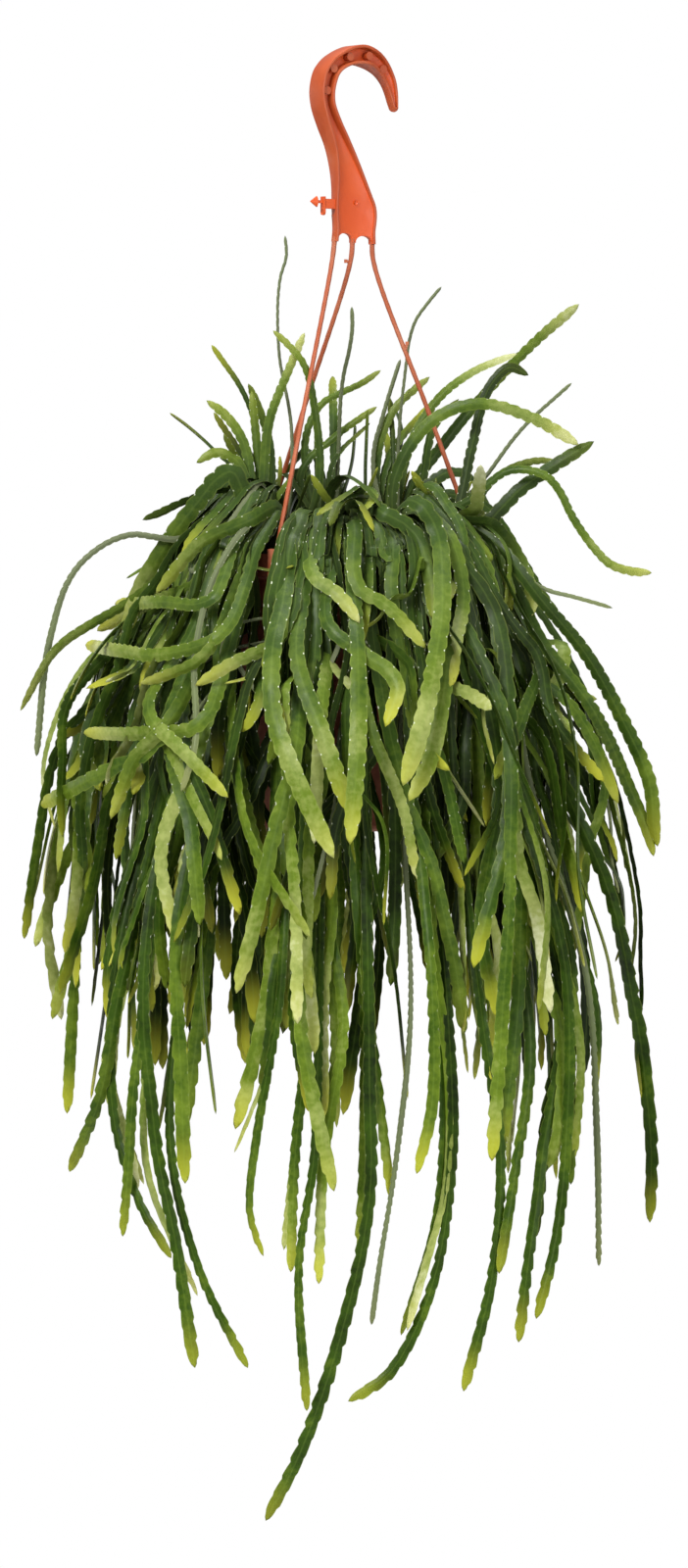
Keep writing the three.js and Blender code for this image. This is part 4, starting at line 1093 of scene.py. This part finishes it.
def hides(stem, sight):
    """How many kept places a stem would hide."""
    tree, depths, rooms = sight
    line = keep_clear(spline(stem["points"], 40), np.full(40, stem["width"] / 2))
    view, depth = in_view(line)
    hidden = set()
    for seen, y in zip(view, depth):
        for _, i, gap in tree.find_range(seen, SIGHT_STEP):
            if y < depths[i] - 1 and gap < rooms[i] + 0.4 * stem["width"]:
                hidden.add(i)
    return len(hidden)


# Stems thinner than this are old and woody
THIN_STEM = 4.5
WOODY = 0.7

# A stem's foot stands this far from the middle of its clump, strewn, and deep in the crown
FOOT_REACH = 9
FOOT_STREWN = 6
FOOT_DEPTH = 12


def all_stems():
    stems = [rising_stem(*row) for row in RISING] + [hanging_stem(*row) for row in HANGING]
    sight = kept_in_sight(stems)
    for clump, (hanging, standing) in enumerate(RULED):
        stems += [ruled_stem(clump) for _ in range(hanging)]
        stems += [ruled_shoot(clump) for _ in range(standing)]
    for stem in stems:
        stem["inner"] = False
        stem["woody"] = WOODY if stem["width"] < THIN_STEM else 0.0
        if not stem["shown"]:
            stem["tone"] = extras.uniform(0.15, 0.6)
            stem["ripe"] = extras.uniform(0.2, 0.8)
    modelled = list(stems)
    for clump in range(CLUMP_COUNT):
        guides = [s for s in modelled if s["clump"] == clump and s["points"][-1][2] < LONG_BELOW]
        for kind, (counts, *_) in KINDS.items():
            for _ in range(counts[clump in FRONT_CLUMPS]):
                tries = (filling_stem(clump, kind, guides) for _ in range(TRIES))
                fit = next((stem for stem in tries if hides(stem, sight) <= HIDDEN_LIMIT), None)
                if fit:
                    stems.append(fit)
    for stem in stems:
        centre = clump_centre(stem["clump"], CROWN_Z)
        aim = stem["points"][0] - centre
        foot = centre + aim / np.linalg.norm(aim) * FOOT_REACH
        turn = extras.uniform(0, 2 * math.pi)
        away = extras.uniform(0, FOOT_STREWN)
        foot += np.array([away * math.cos(turn), away * math.sin(turn), -FOOT_DEPTH])
        stem["points"].insert(0, foot)
    return stems


# A tip's length in widths, how wide a foot is and over what share of the length it widens,
# and how wide a stem is beside its row
TIP_LENGTH = 1.7
FOOT_WIDTH = 0.36
FOOT_LENGTH = 0.3
SCENE_WIDTH = 0.9


def half_width(gone, length, width):
    """Half width along a stem: a narrow foot, then full width, then a blunt tip."""
    foot = np.minimum(1, FOOT_WIDTH + (1 - FOOT_WIDTH) * gone / (FOOT_LENGTH * length))
    rest = np.clip((length - gone) / (TIP_LENGTH * width), 0, 1)
    tip = np.sqrt(np.maximum(0.0004, 1 - (1 - rest) ** 2)) ** 1.3
    swell = 1 + 0.06 * np.sin(gone / 24)
    return SCENE_WIDTH * width / 2 * foot * tip * swell


# Stems that cross are moved apart in rounds, to a layer's depth. Those that the photo
# shows give way less. Places are compared when near, and count as crossing when they lie
# aside by less than a share of both half widths.
LINE_STEP = 11.0
LAYER = 2.5
SETTLE_ROUNDS = 10
SHIFT_CAP = 1.6
SHOWN_GIVE = 0.25
NEAR = 8.5
BESIDE = 0.9
PUSH = 0.6


def keep_clear(line, half):
    """Keeps a stem's line out of the pot's wall and over its rim."""
    away = line[:, :2] - POT_AXIS
    radius = np.linalg.norm(away, axis=1)
    direction = away / np.maximum(radius, 1e-6)[:, None]
    over = np.maximum.accumulate(radius > RIM_RADIUS - 6)
    z = line[:, 2].copy()
    from_rim = np.hypot(radius - RIM_GUARD_RADIUS, z - LIP_BOTTOM)
    clear = RIM_GUARD + half * 0.6
    inside = (from_rim < clear) & (over | (z > LIP_BOTTOM))
    share = np.where(inside, clear / np.maximum(from_rim, 1e-6), 1)
    radius = RIM_GUARD_RADIUS + (radius - RIM_GUARD_RADIUS) * share
    z = np.where(inside, LIP_BOTTOM + np.abs(z - LIP_BOTTOM) * share, z)
    low = over & (z < RIM_TOP + 3)
    radius = np.where(low, np.maximum(radius, RIM_RADIUS + 3 + half), radius)
    kept = np.column_stack([POT_AXIS + direction * radius[:, None], z])
    kept[:2] = line[:2]
    return kept


def frames(line, outward_deg):
    """The direction, side and face at each place along a stem's line."""
    outward = math.radians(outward_deg)
    tangents, sides = carried(line, np.array([-math.sin(outward), math.cos(outward), 0.0]))
    return tangents, sides, np.cross(sides, tangents)


def smoothed(moves):
    """Moves along a stem, each blended with its neighbours'."""
    for _ in range(2):
        moves[1:-1] = 0.5 * moves[1:-1] + 0.25 * (moves[:-2] + moves[2:])
    return moves


def settle(stems):
    """Lets the stems lie beside and over each other instead of through each other."""
    for stem in stems:
        length = steps_of(stem["points"]).sum()
        stem["line"] = spline(stem["points"], max(7, round(length / LINE_STEP) + 1))
        gone = np.linspace(0, length, len(stem["line"]))
        stem["half"] = half_width(gone, length, stem["width"])
        stem["line"] = keep_clear(stem["line"], stem["half"])
    owner = np.concatenate([np.full(len(s["line"]), n) for n, s in enumerate(stems)])
    half = np.concatenate([s["half"] for s in stems])
    give = np.array([SHOWN_GIVE if s["shown"] else 1.0 for s in stems])[owner]
    for _ in range(SETTLE_ROUNDS):
        places = np.concatenate([s["line"] for s in stems])
        faces = np.concatenate([frames(s["line"], clump_angle(s["clump"]))[2] for s in stems])
        tree = tree_of(places)
        pairs = [
            (i, j) for i, place in enumerate(places)
            for _, j, _ in tree.find_range(place, NEAR) if j > i and owner[i] != owner[j]]
        first, second = np.array(pairs).T
        gap = places[second] - places[first]
        sense = np.where((faces[first] * faces[second]).sum(1) < 0, -1.0, 1.0)
        face = faces[first] + sense[:, None] * faces[second]
        face /= np.maximum(np.linalg.norm(face, axis=1), 1e-6)[:, None]
        rise = (gap * face).sum(1)
        aside = np.sqrt(np.maximum((gap ** 2).sum(1) - rise ** 2, 0))
        close = aside < BESIDE * (half[first] + half[second])
        key = owner[first] * len(stems) + owner[second]
        _, pair = np.unique(key, return_inverse=True)
        order = np.bincount(pair, weights=rise * close)
        sense = np.where(order[pair] < 0, -1.0, 1.0)
        lack = np.where(close, np.clip(LAYER - sense * rise, 0, 2 * LAYER), 0)
        shift = face * (PUSH * lack * sense / (give[first] + give[second]))[:, None]
        moves = np.zeros_like(places)
        np.add.at(moves, first, -shift * give[first][:, None])
        np.add.at(moves, second, shift * give[second][:, None])
        size = np.linalg.norm(moves, axis=1)
        moves *= np.minimum(1, SHIFT_CAP * give / np.maximum(size, 1e-6))[:, None]
        start = 0
        for stem in stems:
            count = len(stem["line"])
            line = stem["line"] + smoothed(moves[start:start + count])
            line[:2] = stem["line"][:2]
            stem["line"] = keep_clear(line, stem["half"])
            start += count


# A stem longer than this has long teeth of full depth, and a shorter one has short ones.
# The two pitches are in widths of the stem, and the least one is in millimetres.
LONG_STEM = 290
LONG_PITCH = 1.3
SHORT_PITCH = 0.75
LEAST_PITCH = 4.2
LEAST_RINGS = 16
TOOTH_DEPTH = 0.34
SHORT_TOOTH = 0.7


def tooth(phase, depth):
    """A toothed margin: it swells toward the tip, then steps in at a notch."""
    return 1 - depth * (1 - phase % 1) ** 2


# Half of a stem's usual twist about itself, in radians, and where it is seen to face the front
HALF_TWIST = 0.35
FACES_AT = 0.7


def roll_along(stem, tangents, sides, faces):
    """How far a stem is rolled about itself, so that one seen from the front shows its face."""
    roll = math.radians(stem["roll"])
    if stem["shown"]:
        middle = round(len(tangents) * FACES_AT)
        wanted = np.cross(tangents[middle], [0.0, 1.0, 0.0])
        roll += math.atan2(wanted.dot(faces[middle]), wanted.dot(sides[middle]))
    return roll + np.linspace(-HALF_TWIST, HALF_TWIST, len(tangents)) * stem["twist"]


# Sections of a stem: across and height, in turn from one margin round both faces
FINE_SECTION = (
    (-1, 0), (-0.5, -0.38), (0, -1), (0.5, -0.38), (1, 0), (0.5, 0.38), (0, 1), (-0.5, 0.38),
)
PLAIN_SECTION = ((-1, 0), (0, -1), (1, 0), (0, 1))
HALF_THICKNESS = 0.95


def stem_mesh(stem):
    """One stem as a flat tube along its line, with a midrib and toothed margins, and
    the values that its skin is coloured by."""
    width = stem["width"]
    section = np.array(FINE_SECTION if stem["shown"] else PLAIN_SECTION, float)
    length = steps_of(stem["line"]).sum()
    long = length > LONG_STEM
    pitch = max(LEAST_PITCH, (LONG_PITCH if long else SHORT_PITCH) * width)
    samples = 5 if long and not stem["inner"] else 3
    rings = max(LEAST_RINGS, round(length / pitch * samples))
    line = spline(stem["line"], rings + 1)
    tangents, sides, faces = frames(line, clump_angle(stem["clump"]))
    roll = roll_along(stem, tangents, sides, faces)
    across = sides * np.cos(roll)[:, None] + faces * np.sin(roll)[:, None]
    lift = np.cross(tangents, across)
    gone = np.linspace(0, length, rings + 1)
    teeth = np.arange(rings + 1) / samples
    depth = TOOTH_DEPTH * (1 if long else SHORT_TOOTH) * (0.65 + 0.35 * np.sin(gone / 17 + stem["roll"]))
    half = half_width(gone, length, width)
    thick = HALF_THICKNESS * np.minimum(1, 0.35 + half / (width / 2) * 0.65)
    offset = (samples // 2) / samples
    margins = np.stack([half * tooth(teeth, depth), half * tooth(teeth + offset, depth[::-1])])

    bm = bmesh.new()
    bmesh.ops.create_uvsphere(bm, u_segments=len(section), v_segments=rings, radius=1)
    mesh = mesh_from("stem", bm)
    ball = np.empty(len(mesh.vertices) * 3)
    mesh.vertices.foreach_get("co", ball)
    ball = ball.reshape(-1, 3)
    ring = rings - np.round(np.arccos(np.clip(ball[:, 2], -1, 1)) / math.pi * rings).astype(int)
    turn = np.arctan2(ball[:, 1], ball[:, 0]) / (2 * math.pi) * len(section)
    aside, height = section[np.round(turn).astype(int) % len(section)].T
    closed = (ring > 0) & (ring < rings)
    right = (aside > 0).astype(int)
    reach = aside * margins[right, ring] * closed
    rise = height * thick[ring] * closed
    places = line[ring] + across[ring] * reach[:, None] + lift[ring] * rise[:, None]
    mesh.vertices.foreach_set("co", places.ravel())
    values = {
        "across": aside * closed, "teeth": teeth[ring] + right * offset,
        "from_tip": length - gone[ring], "from_foot": gone[ring],
    }
    for title in ("tone", "ripe", "woody"):
        values[title] = np.full(len(ring), stem[title])
    return mesh, values


def make_stems():
    stems = all_stems()
    for stem in stems:
        stem["twist"] = extras.normal(0, 1.0)
    settle(stems)
    skin = stem_skin()
    for k, name in enumerate(CLUMP_NAMES):
        bm = bmesh.new()
        parts = []
        for stem in stems:
            if stem["clump"] == k:
                mesh, values = stem_mesh(stem)
                bm.from_mesh(mesh)
                bpy.data.meshes.remove(mesh)
                parts.append(values)
        piece = finish_piece("grown_" + name, bm, [skin], [name])
        mesh = piece.data
        for title in parts[0]:
            layer = mesh.attributes.new(title, "FLOAT", "POINT")
            layer.data.foreach_set("value", np.concatenate([part[title] for part in parts]))
        margin = np.concatenate([part["across"] for part in parts])
        ends = np.empty(len(mesh.edges) * 2, int)
        mesh.edges.foreach_get("vertices", ends)
        ends = margin[ends.reshape(-1, 2)]
        sharp = (np.abs(ends[:, 0]) == 1) & (ends[:, 0] == ends[:, 1])
        mesh.attributes.new("sharp_edge", "BOOLEAN", "EDGE").data.foreach_set("value", sharp)


# Stage, in metres

FLOOR_RADIUS = 2.2
FLOOR_Z = -1.15
LIGHTS_AIM = Vector((0, 0, -0.35))


def make_stage():
    """A pale floor well below the plant, and a soft studio light round it."""
    bm = bmesh.new()
    bmesh.ops.create_circle(bm, cap_ends=True, segments=64, radius=FLOOR_RADIUS)
    bmesh.ops.translate(bm, vec=(0, 0, FLOOR_Z), verts=bm.verts)
    floor = add_object("floor", mesh_from("floor", bm))
    paper, tree = new_material("matte_white_paper")
    shader = add_node(tree, "BsdfPrincipled", {"Base Color": colour("#EDEDEB"), "Roughness": 0.9})
    add_node(tree, "OutputMaterial", [shader])
    floor.data.materials.append(paper)
    world = bpy.data.worlds.new("studio")
    bpy.context.scene.world = world
    world.use_nodes = True
    tree = world.node_tree
    direction = add_node(tree, "TexCoord").outputs["Generated"]
    height = add_node(tree, "SeparateXYZ", [direction]).outputs["Z"]
    level = add_node(tree, "Math", [height, 0.5, 0.5], operation="MULTIPLY_ADD")
    sky = add_node(tree, "ValToRGB", [level], [
        (0.0, "#3A3A3A"), (0.42, "#4A4A4A"), (0.45, "#FFFFFF"), (0.55, "#FFFFFF"), (0.6, "#8C8C8C"),
        (0.8, "#B4B4B4"), (1.0, "#DCDCDC")])
    background = tree.nodes["Background"]
    tree.links.new(sky.outputs["Color"], background.inputs["Color"])
    background.inputs["Strength"].default_value = 1.0
    for name, place, size, power in (
        ("key", (-1.3, -2.1, 1.3), 1.0, 80), ("fill", (1.8, -2.0, 0.0), 1.6, 26),
        ("top", (0.1, 0.1, 1.6), 0.9, 24),
    ):
        data = bpy.data.lights.new(name, "AREA")
        data.energy = power
        data.size = size
        lamp = add_object(name, data)
        lamp.location = place
        aim = LIGHTS_AIM - Vector(place)
        lamp.rotation_euler = aim.to_track_quat("-Z", "Y").to_euler()
    bpy.context.scene.view_settings.view_transform = "Standard"


make_hanger()
make_pot()
make_soil()
make_stems()
make_stage()
